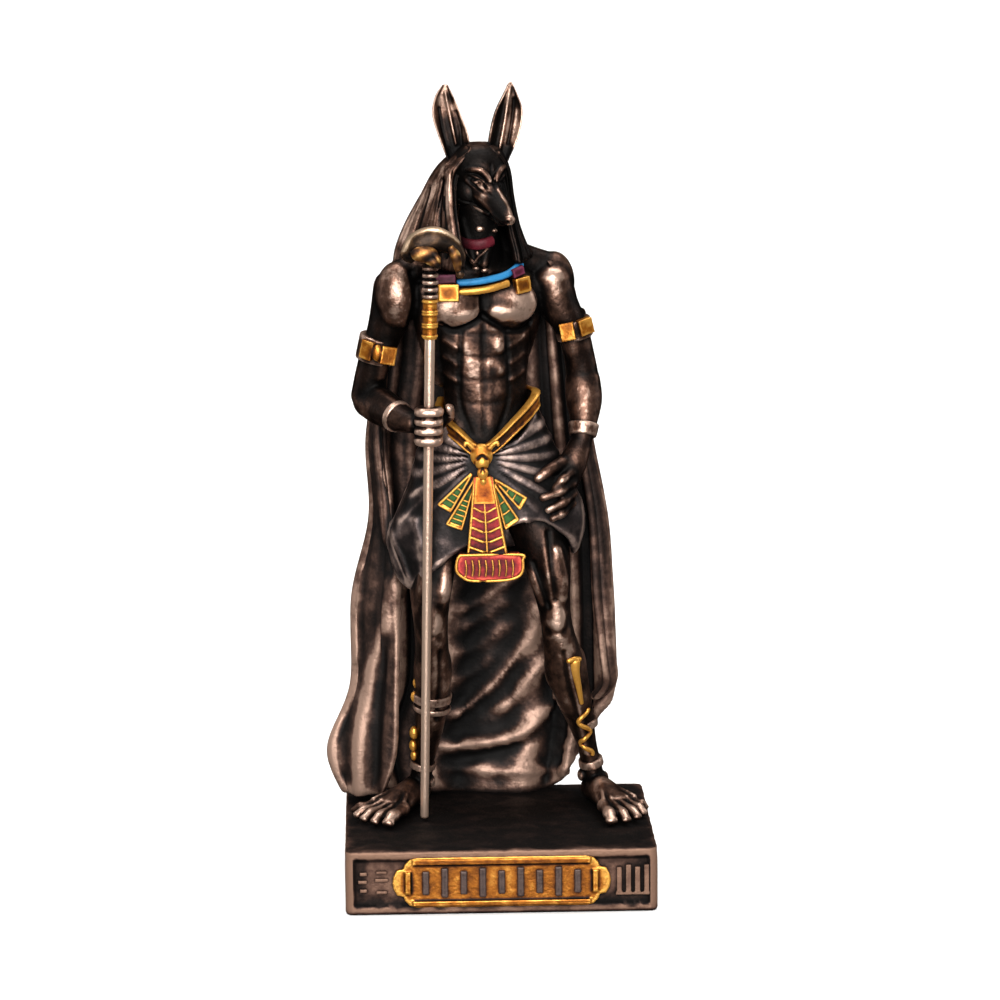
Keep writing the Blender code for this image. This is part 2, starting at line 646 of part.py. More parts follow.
def kilt_shells():
    """The wrapped kilt with its uneven hem, the belt, buckle, apron and ribbons."""
    hem = np.array(
        [
            (-180, 36.5),
            (-115, 36.0),
            (-85, 34.6),
            (-62, 33.2),
            (-40, 34.6),
            (-20, 36.8),
            (0, 39.5),
            (22, 42.0),
            (48, 39.6),
            (76, 37.0),
            (110, 37.0),
            (180, 36.5),
        ]
    )
    wide_left = np.array([(33, 9.3), (35, 9.9), (38.9, 11.0), (41, 9.9), (44, 8.5), (49, 7.2), (54, 4.9)])
    wide_right = np.array(
        [(33, 9.6), (37, 10.1), (39, 10.9), (42, 10.9), (45, 9.4), (49, 7.6), (54.5, 5.2)]
    )
    deep = np.array([(33, 4.5), (38, 4.7), (44, 4.7), (49, 4.1), (54, 3.5)])
    columns = []
    for turn in np.arange(-180, 181, 20):
        a = math.radians(turn)
        top = 54.2 - 4.6 * math.exp(-((turn / 52) ** 2))
        low = np.interp(turn, *hem.T)
        column = []
        for z in np.linspace(top, low, 6):
            wide = np.interp(z, *(wide_left if turn < 0 else wide_right).T)
            depth = np.interp(z, *deep.T) + (0.8 if abs(turn) > 90 else 0)
            column.append((-1.0 + wide * math.sin(a), 3.7 - depth * math.cos(a), z))
        columns.append(column)

    def pleats(u, v):
        return 0.2 * np.sin(2 * math.pi * 13 * u) * np.clip(v * 2, 0.3, 1)

    shells = [sheet(columns, KILT_THICKNESS, rows_each=4, columns_each=3, fold=pleats)]
    belt = [
        (3.6, 5.4, 54.9, 0.8, 0.4),
        (4.5, 2.6, 54.3, 0.8, 0.45),
        (2.2, 0.3, 51.6, 0.85, 0.5),
        (-1.3, -0.9, 49.4, 0.8, 0.5),
        (-4.2, 0.2, 51.2, 0.8, 0.5),
        (-6.0, 2.6, 52.8, 0.75, 0.45),
        (-5.8, 5.4, 53.8, 0.7, 0.4),
    ]
    shells.append(limb(belt, side=(0, 0, 1), around=12))
    shells.append(ball((-1.4, -1.2, 48.9), (1.45, 0.75, 1.9)))
    shells.append(ball((-1.4, -1.3, 46.4), (0.75, 0.7, 0.9)))
    for way in (-1, 1):
        shells.append(
            limb([(-1.4 + way * 0.9, -1.3, 49.9, 0.35, 0.35), (-1.4 + way * 1.7, -1.3, 50.5, 0.3, 0.3)])
        )
    apron = [(-2.3, -1.0, 46.7), (-0.4, -1.0, 46.7), (1.4, -1.5, 37.2), (-3.3, -1.5, 37.2)]
    border = [
        (-3.9, -1.4, 38.0),
        (2.6, -1.4, 38.0),
        (3.1, -1.6, 36.2),
        (2.4, -1.6, 35.1),
        (-3.7, -1.6, 35.1),
        (-4.4, -1.6, 36.2),
    ]
    shells.append(slab(apron, 0.9))
    shells.append(slab(border, 1.15))
    for start, end, tip in (
        ((-2.4, 47.0), (-6.0, 43.4), (-4.6, 41.9)),
        ((-2.0, 46.6), (-4.9, 41.3), (-3.5, 40.6)),
        ((-0.4, 46.2), (3.3, 43.9), (2.6, 42.2)),
        ((-0.2, 45.8), (2.3, 41.4), (1.3, 41.0)),
    ):
        ribbon = [
            (start[0], -0.9, start[1]),
            (end[0], -0.9, end[1]),
            (tip[0], -0.9, tip[1]),
            (start[0] + 0.4, -0.9, start[1] - 0.4),
        ]
        shells.append(slab(ribbon, 0.7))
    return shells


def collar_shells():
    """A flat collar on the chest, lower in front, with a square tab at each side."""
    band = [
        (*chest(-5.4, 1.2, 69.8), 1.1, 0.5),
        (*chest(-4.3, 3.1, 68.3), 1.15, 0.55),
        (*chest(0.6, 4.1, 67.9), 1.15, 0.55),
        (*chest(5.0, 3.3, 69.2), 1.1, 0.55),
        (*chest(6.3, 1.4, 70.4), 1.0, 0.5),
    ]
    shells = [limb(band, side=(0, 0, 1), around=12)]
    shells.append(ball(chest(-4.7, 3.6, 67.6), (1.2, 0.7, 1.1)))
    shells.append(ball(chest(4.8, 3.5, 68.4), (1.0, 0.7, 1.0)))
    choker = [
        (-3.7, 2.2, 73.3, 0.6, 0.5),
        (-2.8, 0.5, 72.7, 0.65, 0.5),
        (-1.5, 0.0, 72.4, 0.65, 0.5),
        (-0.1, 0.5, 72.6, 0.65, 0.5),
        (0.9, 2.2, 73.2, 0.6, 0.5),
    ]
    shells.append(limb(choker, side=(0, 0, 1), around=12))
    return shells


def make_figure():
    shells = torso_shells() + arm_shells() + hand_shells() + leg_shells()
    shells += head_shells() + cloth_shells() + collar_shells()
    figure = cast_solid(joined(shells, "figure"), CAST_GRAIN)
    relaxed(figure, 4)
    # Muscle cuts and deep folds that show from a step away.
    scored(
        figure,
        [(-5.6, 63.4), (-3.2, 62.9), (-1.6, 63.7), (-0.95, 64.0), (0.2, 63.3), (2.4, 62.9), (4.0, 63.4)],
        0.45,
        -0.3,
    )
    scored(figure, [(-0.9, 67.0), (-0.95, 62.0), (-0.85, 56.0), (-1.1, 50.8)], 0.4, -0.3)
    for z in (60.0, 57.3, 54.7):
        scored(figure, [(-3.2, z + 0.2), (-0.9, z), (1.3, z + 0.2)], 0.35, -0.2)
    for way in (-1, 1):
        for reach, drop in ((5.5, -0.4), (6.0, -3.0), (5.4, -5.6)):
            scored(figure, [(-1.4 + way * 1.6, 48.6), (-1.4 + way * reach, 48.6 + drop)], 0.35, -0.22)
    # Swags of the cloak between the legs, and the long ridges of its left panel.
    behind = (6.5, 14.0)
    scored(figure, [(5.2, 27.6), (3.0, 23.3), (-1.2, 17.3), (-5.2, 14.4)], 0.9, 1.0, layer=behind)
    scored(figure, [(6.0, 19.9), (3.7, 17.3), (0.5, 14.8)], 0.8, 0.8, layer=behind)
    scored(figure, [(8.0, 16.8), (5.3, 13.0), (1.0, 10.9), (-6.0, 10.0)], 1.0, 0.9, layer=behind)
    scored(figure, [(2.7, 30.7), (-1.3, 27.3), (-4.4, 25.6)], 0.7, 0.7, layer=behind)
    scored(
        figure,
        [(-11.2, 31.6), (-13.0, 24.8), (-14.6, 19.4), (-16.5, 13.8), (-16.6, 9.6)],
        0.6,
        0.5,
        layer=(2.0, 8.0),
    )
    scored(figure, [(-12.2, 26.5), (-13.2, 18.6), (-14.3, 9.6)], 0.6, 0.4, layer=(2.0, 8.0))
    thinned(figure, FIGURE_TRIANGLES)
    # Flat soles and hem, where the casting is glued to the plinth.
    cut(figure, outward(box((-30, -20, FOOT_LEVEL - 5), (30, 20, FOOT_LEVEL), "ground")))
    # The staff passes through the fist with a little clearance.
    low, high = 49.0, 57.5
    rings = []
    for z in (low, high):
        x, y = staff_at(z)
        turn = np.linspace(0, 2 * math.pi, 16, endpoint=False)
        radius = STAFF_RADIUS_TOP + FIST_CLEARANCE
        rings.append([(x + radius * math.cos(t), y + radius * math.sin(t), z) for t in turn])
    bore = outward(joined([loft(rings)], "bore"))
    cut(figure, bore)
    coloured(figure, "bronze_resin", "5e4238", 0.8, 0.42)


def make_sceptre():
    """A thin staff with a ringed grip and a long-snouted animal head that curls down."""
    shells = []
    stations = []
    for z, radius in (
        (PLINTH_HEIGHT + GLUE_GAP + 0.4, STAFF_RADIUS_FOOT),
        (40.0, 0.54),
        (62.6, STAFF_RADIUS_TOP),
    ):
        stations.append((*staff_at(z), z, radius, radius))
    shells.append(limb(stations, steps=3, around=12, cap=0.7))
    for low, high, radius in ((62.6, 66.9, 0.86), (67.0, 70.6, 0.72)):
        shells.append(
            limb([(*staff_at(low), low, radius, radius), (*staff_at(high), high, radius, radius)], cap=0.3)
        )
    for ring in range(4):
        z = 67.6 + NECK_RING_PITCH * ring
        shells.append(
            limb(
                [(*staff_at(z - 0.12), z - 0.12, 0.95, 0.95), (*staff_at(z + 0.12), z + 0.12, 0.95, 0.95)],
                cap=0.3,
            )
        )
    x, y = staff_at(72.0)
    dome = [
        (x - 2.4, y + 0.4, 71.6, 1.0, 1.1),
        (x - 1.2, y + 0.1, 72.9, 1.6, 1.6),
        (x + 0.6, y - 0.1, 73.5, 1.5, 1.6),
        (x + 2.3, y - 0.2, 73.0, 1.0, 1.15),
        (x + 3.2, y - 0.3, 71.8, 0.7, 0.8),
        (x + 3.2, y - 0.3, 70.4, 0.5, 0.55),
    ]
    shells.append(limb(dome, side=(0, 1, 0), around=16))
    shells.append(ball((x - 0.2, y - 0.6, 72.0), (2.0, 1.3, 1.5)))
    shells.append(limb([(x, y, 70.4, 0.8, 0.8), (x, y, 72.0, 1.1, 1.1)]))
    sceptre = cast_solid(joined(shells, "sceptre"), SCEPTRE_GRAIN)
    relaxed(sceptre, 2)
    thinned(sceptre, SCEPTRE_TRIANGLES)
    coloured(sceptre, "copper_resin", "9a7462", 0.85, 0.35)


def united(obj, other):
    bond = obj.modifiers.new("bond", "BOOLEAN")
    bond.operation = "UNION"
    bond.solver = "EXACT"
    bond.object = other
    settled(obj)
    bpy.data.objects.remove(other, do_unlink=True)
    return obj


def make_plinth():
    """A block with a recessed front between two rims, and a raised cartouche with plain strokes."""
    half_w, half_d = PLINTH_WIDTH / 2, PLINTH_DEPTH / 2
    plinth = outward(box((-half_w, -half_d, 0), (half_w, half_d, PLINTH_HEIGHT), "plinth"))
    soft = plinth.modifiers.new("worn edges", "BEVEL")
    soft.width = PLINTH_EDGE
    soft.segments = 2
    settled(plinth)
    face = box(
        (-half_w + 1.0, -half_d - 1, FACE_RIM),
        (half_w - 1.0, -half_d + FACE_RECESS, PLINTH_HEIGHT - FACE_RIM),
        "face",
    )
    cut(plinth, outward(face))
    middle = PLINTH_HEIGHT / 2
    half, high = CARTOUCHE_WIDTH / 2, CARTOUCHE_HEIGHT / 2
    ends = [(half - 0.6, -high * 0.62), (half - 0.6, -high * 0.3), (half, 0)]
    right = [(half - 1.6, -high)] + ends + [(x, -z) for x, z in ends[1::-1]] + [(half - 1.6, high)]
    outline = right + [(-x, z) for x, z in right[::-1]]
    back, front = -half_d + 1.0, -half_d + FACE_RECESS - CARTOUCHE_PROUD
    rings = [
        [(x * s, y, middle + z * s) for x, z in outline]
        for y, s in ((back, 1), (front + 0.2, 1), (front, 0.97))
    ]
    united(plinth, outward(joined([loft(rings)], "cartouche")))
    inner = CARTOUCHE_WIDTH - 5.2
    field = box(
        (-inner / 2, front - 1, middle - high * 0.72),
        (inner / 2, front + STROKE_DEPTH, middle + high * 0.72),
        "field",
    )
    cut(plinth, outward(field))
    for i in range(STROKE_COUNT):
        x = -inner / 2 + inner * (i + 0.5) / STROKE_COUNT
        tall = high * (0.6 if i % 2 else 0.42)
        mark = box(
            (x - 0.35, front - 0.02, middle - tall),
            (x + 0.35, front + STROKE_DEPTH + 0.4, middle + tall),
            "mark",
        )
        united(plinth, outward(mark))
    # Reeds at the right of the cartouche and plain blocks at its left.
    for i in range(3):
        x = half + 1.2 + 1.15 * i
        reed = box(
            (x - 0.32, -half_d + 0.05, middle - 1.6),
            (x + 0.32, -half_d + 1.0, middle + 1.6),
            "reed",
        )
        united(plinth, outward(reed))
    for i, (x, z) in enumerate(((-13.1, 0.9), (-13.1, -0.9), (-14.9, 0.0))):
        block = box(
            (x - 0.6, -half_d + 0.05, middle + z - 0.55),
            (x + 0.6, -half_d + 1.0, middle + z + 0.55),
            "block",
        )
        united(plinth, outward(block))
    coloured(plinth, "bronze_resin_base", "4a342c", 0.75, 0.45, rounded=False)


make_figure()
make_sceptre()
make_plinth()
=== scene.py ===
import math

import bpy
import numpy as np
from mathutils import Matrix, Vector
from mathutils.bvhtree import BVHTree


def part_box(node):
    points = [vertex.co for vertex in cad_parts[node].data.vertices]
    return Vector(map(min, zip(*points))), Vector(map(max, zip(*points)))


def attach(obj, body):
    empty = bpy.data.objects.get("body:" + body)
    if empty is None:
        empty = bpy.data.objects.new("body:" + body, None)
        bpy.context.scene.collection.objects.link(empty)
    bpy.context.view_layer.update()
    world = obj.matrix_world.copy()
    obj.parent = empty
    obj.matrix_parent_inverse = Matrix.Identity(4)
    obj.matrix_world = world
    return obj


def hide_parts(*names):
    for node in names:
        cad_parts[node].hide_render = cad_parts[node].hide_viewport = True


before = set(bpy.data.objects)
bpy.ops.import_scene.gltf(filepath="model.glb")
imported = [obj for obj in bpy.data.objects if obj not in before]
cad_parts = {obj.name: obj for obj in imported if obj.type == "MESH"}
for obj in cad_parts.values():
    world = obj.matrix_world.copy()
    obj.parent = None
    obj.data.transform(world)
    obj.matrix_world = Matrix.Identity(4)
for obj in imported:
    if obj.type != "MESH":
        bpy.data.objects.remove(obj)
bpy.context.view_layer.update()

# Plinth: a low oblong block of cold-cast bronze resin, poured in the same way as the figure and
# glued under its feet. Its top is darker and rough, and its front face has a rim above and
# below, a painted cartouche, and low relief on each side of it.
MM = 0.001
plinth_low, plinth_high = (np.array(corner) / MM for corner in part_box("plinth"))
PLINTH_TOP = plinth_high[2]
FRONT = -plinth_high[1]
RIM_HEIGHT = 0.95
RIM_SIDE = 0.9
RIM_SLOPE = 0.3
FACE_RECESS = 0.35


def smooth_path(points, steps):
    """A smooth run of rows through a few stations."""
    rows = np.array(points, float)
    padded = np.vstack([2 * rows[0] - rows[1], rows, 2 * rows[-1] - rows[-2]])
    out = []
    for i in range(len(rows) - 1):
        a, b, c, d = padded[i : i + 4]
        for t in np.arange(steps) / steps:
            curve = 2 * b + (c - a) * t + (2 * a - 5 * b + 4 * c - d) * t**2
            out.append(0.5 * (curve + (3 * b - a - 3 * c + d) * t**3))
    out.append(rows[-1])
    return np.array(out)


def unit(v):
    """Vectors brought to a length of one."""
    v = np.asarray(v, float)
    return v / np.maximum(np.linalg.norm(v, axis=-1, keepdims=True), 1e-9)


def loft(rings):
    """A closed shell over rings of equal count, with a fan at each end."""
    rings = np.asarray(rings, float)
    m, n, _ = rings.shape
    points = np.vstack([rings.reshape(-1, 3), rings[0].mean(0), rings[-1].mean(0)])
    faces = []
    for j in range(n):
        k = (j + 1) % n
        faces += [(i * n + j, i * n + k, (i + 1) * n + k, (i + 1) * n + j) for i in range(m - 1)]
        faces += [(m * n, k, j), (m * n + 1, (m - 1) * n + j, (m - 1) * n + k)]
    return points, faces


def plate(outline, start, thickness):
    """A flat plate over an outline of x and z, from a depth and thick towards the front."""
    base = np.array([(x, start, z) for x, z in outline], float)
    return loft([base, base - np.array((0, thickness, 0))])


def bar(low, high):
    """A block between two corners."""
    (x0, y0, z0), (x1, y1, z1) = low, high
    return plate([(x0, z0), (x1, z0), (x1, z1), (x0, z1)], y1, y1 - y0)


def joined(shells, name):
    """Closed shells in one mesh object, still in millimetres."""
    points, faces, start = [], [], 0
    for shell_points, shell_faces in shells:
        points.append(np.asarray(shell_points, float))
        faces += [tuple(start + k for k in face) for face in shell_faces]
        start += len(shell_points)
    mesh = bpy.data.meshes.new(name)
    mesh.from_pydata(np.vstack(points).tolist(), [], faces)
    obj = bpy.data.objects.new(name, mesh)
    bpy.context.scene.collection.objects.link(obj)
    return obj


def settled(obj):
    """Replaces the object's mesh by what its modifiers make of it."""
    bpy.context.view_layer.update()
    made = obj.evaluated_get(bpy.context.evaluated_depsgraph_get())
    mesh = bpy.data.meshes.new_from_object(made)
    obj.modifiers.clear()
    obj.data = mesh
    return obj


def thinned(obj, triangles):
    """Fewer faces on the flats, down to about a count of triangles."""
    fewer = obj.modifiers.new("fewer faces", "DECIMATE")
    fewer.ratio = min(1.0, triangles / (2 * len(obj.data.polygons)))
    return settled(obj)


def cast(shells, name, grain, triangles, rounds=3):
    """One skin round all of the shells, as one casting has, softened and with fewer faces on the flats."""
    obj = joined(shells, name)
    skin = obj.modifiers.new("casting", "REMESH")
    skin.mode = "VOXEL"
    skin.voxel_size = grain
    settled(obj)
    relaxed(obj, rounds)
    return thinned(obj, triangles) if triangles else obj


def corners_of(mesh, what="co"):
    """The places of a mesh's points, or their normals."""
    values = np.empty(len(mesh.vertices) * 3)
    mesh.vertices.foreach_get(what, values)
    return values.reshape(-1, 3)


def moved(obj, co):
    """Puts the points of an object's mesh at new places."""
    obj.data.vertices.foreach_set("co", co.ravel())
    obj.data.update()


def averaged(mesh, values, rounds, share=1.0, back=0.0):
    """Each point's value pulled towards its neighbours' mean, and pushed back after each round."""
    ends = np.empty(len(mesh.edges) * 2, np.int32)
    mesh.edges.foreach_get("vertices", ends)
    ends = ends.reshape(-1, 2)
    count = np.maximum(np.bincount(ends.ravel(), minlength=len(values)), 1)[:, None]
    out = values.copy()
    for step in range(rounds * (2 if back else 1)):
        total = np.empty_like(out)
        for axis in range(out.shape[1]):
            total[:, axis] = np.bincount(ends[:, 0], out[ends[:, 1], axis], len(out))
            total[:, axis] += np.bincount(ends[:, 1], out[ends[:, 0], axis], len(out))
        out += (-back if back and step % 2 else share) * (total / count - out)
    return out


def relaxed(obj, rounds):
    """Softens the skin and then swells it back, so that thin pieces keep their size."""
    if rounds:
        co = averaged(obj.data, corners_of(obj.data), rounds, share=0.5, back=0.53)
        moved(obj, co)


def linear(code):
    """An sRGB hex colour as the linear values that a shader takes."""
    parts = [int(code[i : i + 2], 16) / 255 for i in (0, 2, 4)]
    return [*(((p + 0.055) / 1.055) ** 2.4 if p > 0.04 else p / 12.92 for p in parts), 1.0]


def add(tree, kind, settings, links=()):
    """Adds a node with its settings, and links its inputs to the given outputs."""
    node = tree.nodes.new(kind)
    for name, value in settings:
        if hasattr(node, str(name)) and not isinstance(name, int):
            setattr(node, name, value)
        else:
            node.inputs[name].default_value = value
    for name, output in links:
        tree.links.new(output, node.inputs[name])
    return node


def aged_casting(name, tones, metallic, polish, grain_mm, cloud_mm, relief, lean=0.0, gleam=0.5):
    """Cold-cast metal or paint: dark wash in the hollows, and rubbed back where the skin stands proud.
    It is darker where surfaces close round within 1.6 mm, partly that wash and partly painted shade
    between parts, and it shows the painted highlights and shade that the proud mark carries.

    tones are the colours from the deepest hollow to the most rubbed edge. polish is the roughness of
    the rubbed skin, and grain_mm and cloud_mm are the sizes of the fine pits and of the cloudy wash.
    gleam is how strongly the part of it that is not metal mirrors the lights.
    """
    finish = bpy.data.materials.new(name)
    finish.use_nodes = True
    tree = finish.node_tree
    shader = tree.nodes["Principled BSDF"]
    place = add(tree, "ShaderNodeTexCoord", []).outputs["Object"]
    proud = add(tree, "ShaderNodeAttribute", [("attribute_name", "proud")]).outputs["Fac"]
    cloud = add(
        tree,
        "ShaderNodeTexNoise",
        [("Scale", 1 / (cloud_mm * MM)), ("Detail", 4.0), ("Roughness", 0.62)],
        [("Vector", place)],
    ).outputs["Fac"]
    grain = add(
        tree,
        "ShaderNodeTexNoise",
        [("Scale", 1 / (grain_mm * MM)), ("Detail", 3.0), ("Roughness", 0.6)],
        [("Vector", place)],
    ).outputs["Fac"]
    # Ambient occlusion: darker where other surfaces close round within 1.6 mm, partly the wash gathered in
    # hollows and partly painted shade between parts.
    open_sky = add(
        tree, "ShaderNodeAmbientOcclusion", [("samples", 8), ("Distance", 1.6 * MM)]
    ).outputs["AO"]
    drift = add(
        tree, "ShaderNodeMapRange", [(1, 0.25), (2, 0.75), (3, -0.17 + lean), (4, 0.17 + lean)],
        [(0, cloud)]
    ).outputs[0]
    # Rubbed wear together with the painted highlights and painted shade that the proud mark carries.
    worn_and_lit = add(tree, "ShaderNodeMath", [("operation", "ADD")], [(0, proud), (1, drift)]).outputs[0]
    shade = add(
        tree, "ShaderNodeMapRange", [(1, 0.25), (2, 0.95), (3, -0.42), (4, 0.05)], [(0, open_sky)]
    ).outputs[0]
    # The colour's place on the ramp: wear, wash, painted highlights and painted shade together.
    rubbed = add(
        tree, "ShaderNodeMath", [("operation", "ADD"), ("use_clamp", True)], [(0, worn_and_lit), (1, shade)]
    ).outputs[0]
    ramp = add(tree, "ShaderNodeValToRGB", [], [("Fac", rubbed)])
    steps = 0.2 + 0.75 * np.linspace(0, 1, len(tones)) ** 0.8
    ramp.color_ramp.elements[0].position, ramp.color_ramp.elements[1].position = steps[0], steps[-1]
    for spot in steps[1:-1]:
        ramp.color_ramp.elements.new(spot)
    for element, code in zip(ramp.color_ramp.elements, tones):
        element.color = linear(code)
    gloss = add(
        tree, "ShaderNodeMapRange", [(1, 0.2), (2, 0.8), (3, polish + 0.22), (4, polish)], [(0, rubbed)]
    ).outputs[0]
    height = add(
        tree, "ShaderNodeMath", [("operation", "MULTIPLY_ADD"), (1, 0.6)], [(0, cloud), (2, grain)]
    ).outputs[0]
    bump = add(
        tree, "ShaderNodeBump", [("Strength", relief), ("Distance", 0.12 * MM)], [("Height", height)]
    ).outputs["Normal"]
    shader.inputs["Metallic"].default_value = metallic
    shader.inputs["Specular IOR Level"].default_value = gleam
    tree.links.new(ramp.outputs["Color"], shader.inputs["Base Color"])
    tree.links.new(gloss, shader.inputs["Roughness"])
    tree.links.new(bump, shader.inputs["Normal"])
    return finish


PROUD_LEAST, PROUD_MOST = -2.2, 1.5
# How far in millimetres a small piece's skin stands proud, over a short and a longer reach, to be
# rubbed bare.
ORNAMENT_FINE, ORNAMENT_BROAD = 0.03, 0.15


def finished(obj, finish, fine=0.06, broad=0.4, stands_for=(), wash_and_light=None):
    """Marks how proud of the skin round it each point stands, less the wash, painted highlights and painted
    shade that the wash function gives, and gives the piece its finish and place.
    """
    mesh = obj.data
    mesh.update()
    co, normal = corners_of(mesh), corners_of(mesh, "normal")
    near = averaged(mesh, co, 6)
    wide = averaged(mesh, near, 60)
    lift = ((co - near) * normal).sum(1) / fine + ((co - wide) * normal).sum(1) / broad
    lift = averaged(mesh, lift[:, None], 2)[:, 0]
    lift = np.clip(lift, PROUD_LEAST, PROUD_MOST)
    # The wash function adds dark wash and painted shade, and takes away rubs and painted highlights.
    if wash_and_light is not None:
        lift -= wash_and_light(co, normal)
    mark = mesh.attributes.new("proud", "FLOAT", "POINT")
    mark.data.foreach_set("value", np.clip(0.5 + 0.25 * lift, 0, 1).astype(np.float32))
    mesh.vertices.foreach_set("co", (co * MM).ravel())
    mesh.materials.clear()
    mesh.materials.append(finish)
    mesh.shade_smooth()
    mesh.update()
    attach(obj, "root")
    if stands_for:
        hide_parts(*stands_for)
    return obj


def ornament(piece, finish, wash_and_light=None):
    """Finishes a small painted piece, whose relief is finer than the skin's."""
    return finished(piece, finish, fine=ORNAMENT_FINE, broad=ORNAMENT_BROAD, wash_and_light=wash_and_light)


def off_path(flat, path):
    """How far each point of a flat view lies from a smooth run through a few points."""
    run = smooth_path(path, 6)
    best = np.full(len(flat), 1e9)
    for a, b in zip(run[:-1], run[1:]):
        span = b - a
        t = np.clip(((flat - a) @ span) / max(span @ span, 1e-9), 0, 1)
        best = np.minimum(best, np.linalg.norm(flat - a - t[:, None] * span, axis=1))
    return best


def rubbed_and_highlit(co, normal, strokes, deepest=99.0):
    """How much lighter the skin is painted along strokes of x and z, width and amount, where the skin faces
    ahead to the lights: partly rubbed-off wash and partly painted highlights.
    """
    total = np.zeros(len(co))
    for path, width, amount in strokes:
        total += amount * np.exp(-((off_path(co[:, (0, 2)], path) / width) ** 2))
    return 2.0 * total * (co[:, 1] < deepest) * np.clip(0.5 - 2 * normal[:, 1], 0, 1)


# Near-black wash over bronze-filled resin, rubbed back to a pink copper on the edges: satin, not
# mirror-like.
BRONZE_TONES = ("050302", "100a07", "2a1c16", "614639", "c2a28f")
dark_bronze = aged_casting("washed_bronze_resin", BRONZE_TONES, 0.85, 0.36, 0.35, 1.9, 0.5)
PLINTH_TONES = ("080504", "1a110e", "37261f", "584035", "765a4a")
base_bronze = aged_casting(
    "rough_bronze_resin", PLINTH_TONES, 0.45, 0.5, 0.3, 1.8, 0.6, lean=0.02, gleam=0.15
)
# Bronze-gold paint, brushed on thick: warm and bright on top, brown where the wash has run in.
gold_paint = aged_casting(
    "bronze_gold_paint", ("130902", "341806", "6c3a0c", "a05e18", "d69a44"), 0.75, 0.36, 0.3, 1.2, 0.3,
    lean=0.08
)
stroke_paint = aged_casting(
    "grey_wash_on_gold", ("0c0808", "1c1414", "2e2321", "4a3a34"), 0.5, 0.42, 0.25, 0.8, 0.3
)


def plinth_block():
    """The block itself, with round upright corners and a small slope at its top and foot."""
    (x0, _, z0), (x1, y1, z1) = plinth_low, plinth_high
    y0 = FRONT
    slope = 0.25
    rings = []
    for z, inset in ((z0, slope), (z0 + slope, 0), (z1 - slope, 0), (z1, slope)):
        corner = 0.8
        ring = []
        for cx, cy, start in ((x1, y1, 0), (x0, y1, 90), (x0, y0, 180), (x1, y0, 270)):
            for turn in np.radians(np.linspace(start, start + 90, 5)):
                way_x, way_y = (1 if cx > 0 else -1), (1 if cy > 0 else -1)
                middle = (cx - way_x * corner, cy - way_y * corner)
                reach = corner - inset
                ring.append((middle[0] + reach * math.cos(turn), middle[1] + reach * math.sin(turn), z))
        rings.append(ring)
    return loft(rings)


plinth = cast([plinth_block()], "plinth_block", 0.2, 0, 2)


def lumps(co, size, seed):
    """A smooth unevenness of about one at a size in millimetres, the same each run."""
    rng = np.random.default_rng(seed)
    total = np.zeros(len(co))
    for _ in range(7):
        way = unit(rng.normal(size=3))
        total += np.sin(co @ way * (2 * math.pi / size) * rng.uniform(0.7, 1.4) + rng.uniform(0, 6.28))
    return total / 7**0.5


def recessed_face(obj):
    """Sinks the front face between its rims, and roughens the top as a hand-worked master has it."""
    co = corners_of(obj.data)
    (_, _, z0), (x1, y1, z1) = plinth_low, plinth_high
    front = co[:, 1] < FRONT + 0.3
    up = np.clip((co[:, 2] - (z0 + RIM_HEIGHT)) / RIM_SLOPE, 0, 1)
    up *= np.clip((z1 - RIM_HEIGHT - co[:, 2]) / RIM_SLOPE, 0, 1)
    along = np.clip((x1 - RIM_SIDE - np.abs(co[:, 0])) / RIM_SLOPE, 0, 1)
    co[:, 1] += np.where(front, FACE_RECESS * up * along, 0)
    top = np.clip((co[:, 2] - (z1 - 0.1)) / 0.05, 0, 1)
    co[:, 2] -= top * 0.08 * (1 + np.clip(lumps(co, 5.5, 5) + 0.4 * lumps(co, 2.3, 6), -1.4, 1.0))
    near_rim = np.exp(-np.minimum(co[:, 2] - z0, z1 - co[:, 2]) / 0.7)
    wear = (lumps(co, 2.2, 7) * 0.05 - 0.06) * near_rim
    sides = (top < 0.5) & (co[:, 2] > 0.6)
    inward = np.clip(np.abs(co[:, :2]) / np.array([x1, y1]), 0, 1) ** 12 * np.sign(co[:, :2])
    co[:, :2] += np.where(sides[:, None], inward * np.minimum(wear, 0)[:, None], 0)
    moved(obj, co)


recessed_face(plinth)
PLINTH_SHARE_KEPT = 0.3
thinned(plinth, PLINTH_SHARE_KEPT * 2 * len(plinth.data.polygons))
moved(plinth, np.clip(corners_of(plinth.data), plinth_low, plinth_high))


def plinth_top_and_face_tone(co, normal):
    """Darker on the plinth's upward-facing top, and lighter over its upright faces, most in the front's
    recess.
    """
    upright = np.clip(1.2 - 2 * np.abs(normal[:, 2]), 0, 1)
    recess = np.clip((co[:, 1] - FRONT - 0.15) / 0.1, 0, 1) * (co[:, 1] < FRONT + 0.6)
    plain_side = 0.6 * (co[:, 1] > FRONT + 0.8)
    return 1.3 * np.clip((normal[:, 2] - 0.5) * 3, 0, 1) - upright * (0.5 + 1.4 * recess + plain_side)


finished(plinth, base_bronze, stands_for=["plinth"], wash_and_light=plinth_top_and_face_tone)

CARTOUCHE_HALF = 12.0
CARTOUCHE_RISE = 2.85
FIELD_HALF = 9.4
STROKES = 9
face_middle = PLINTH_TOP / 2
face_front = FRONT + FACE_RECESS


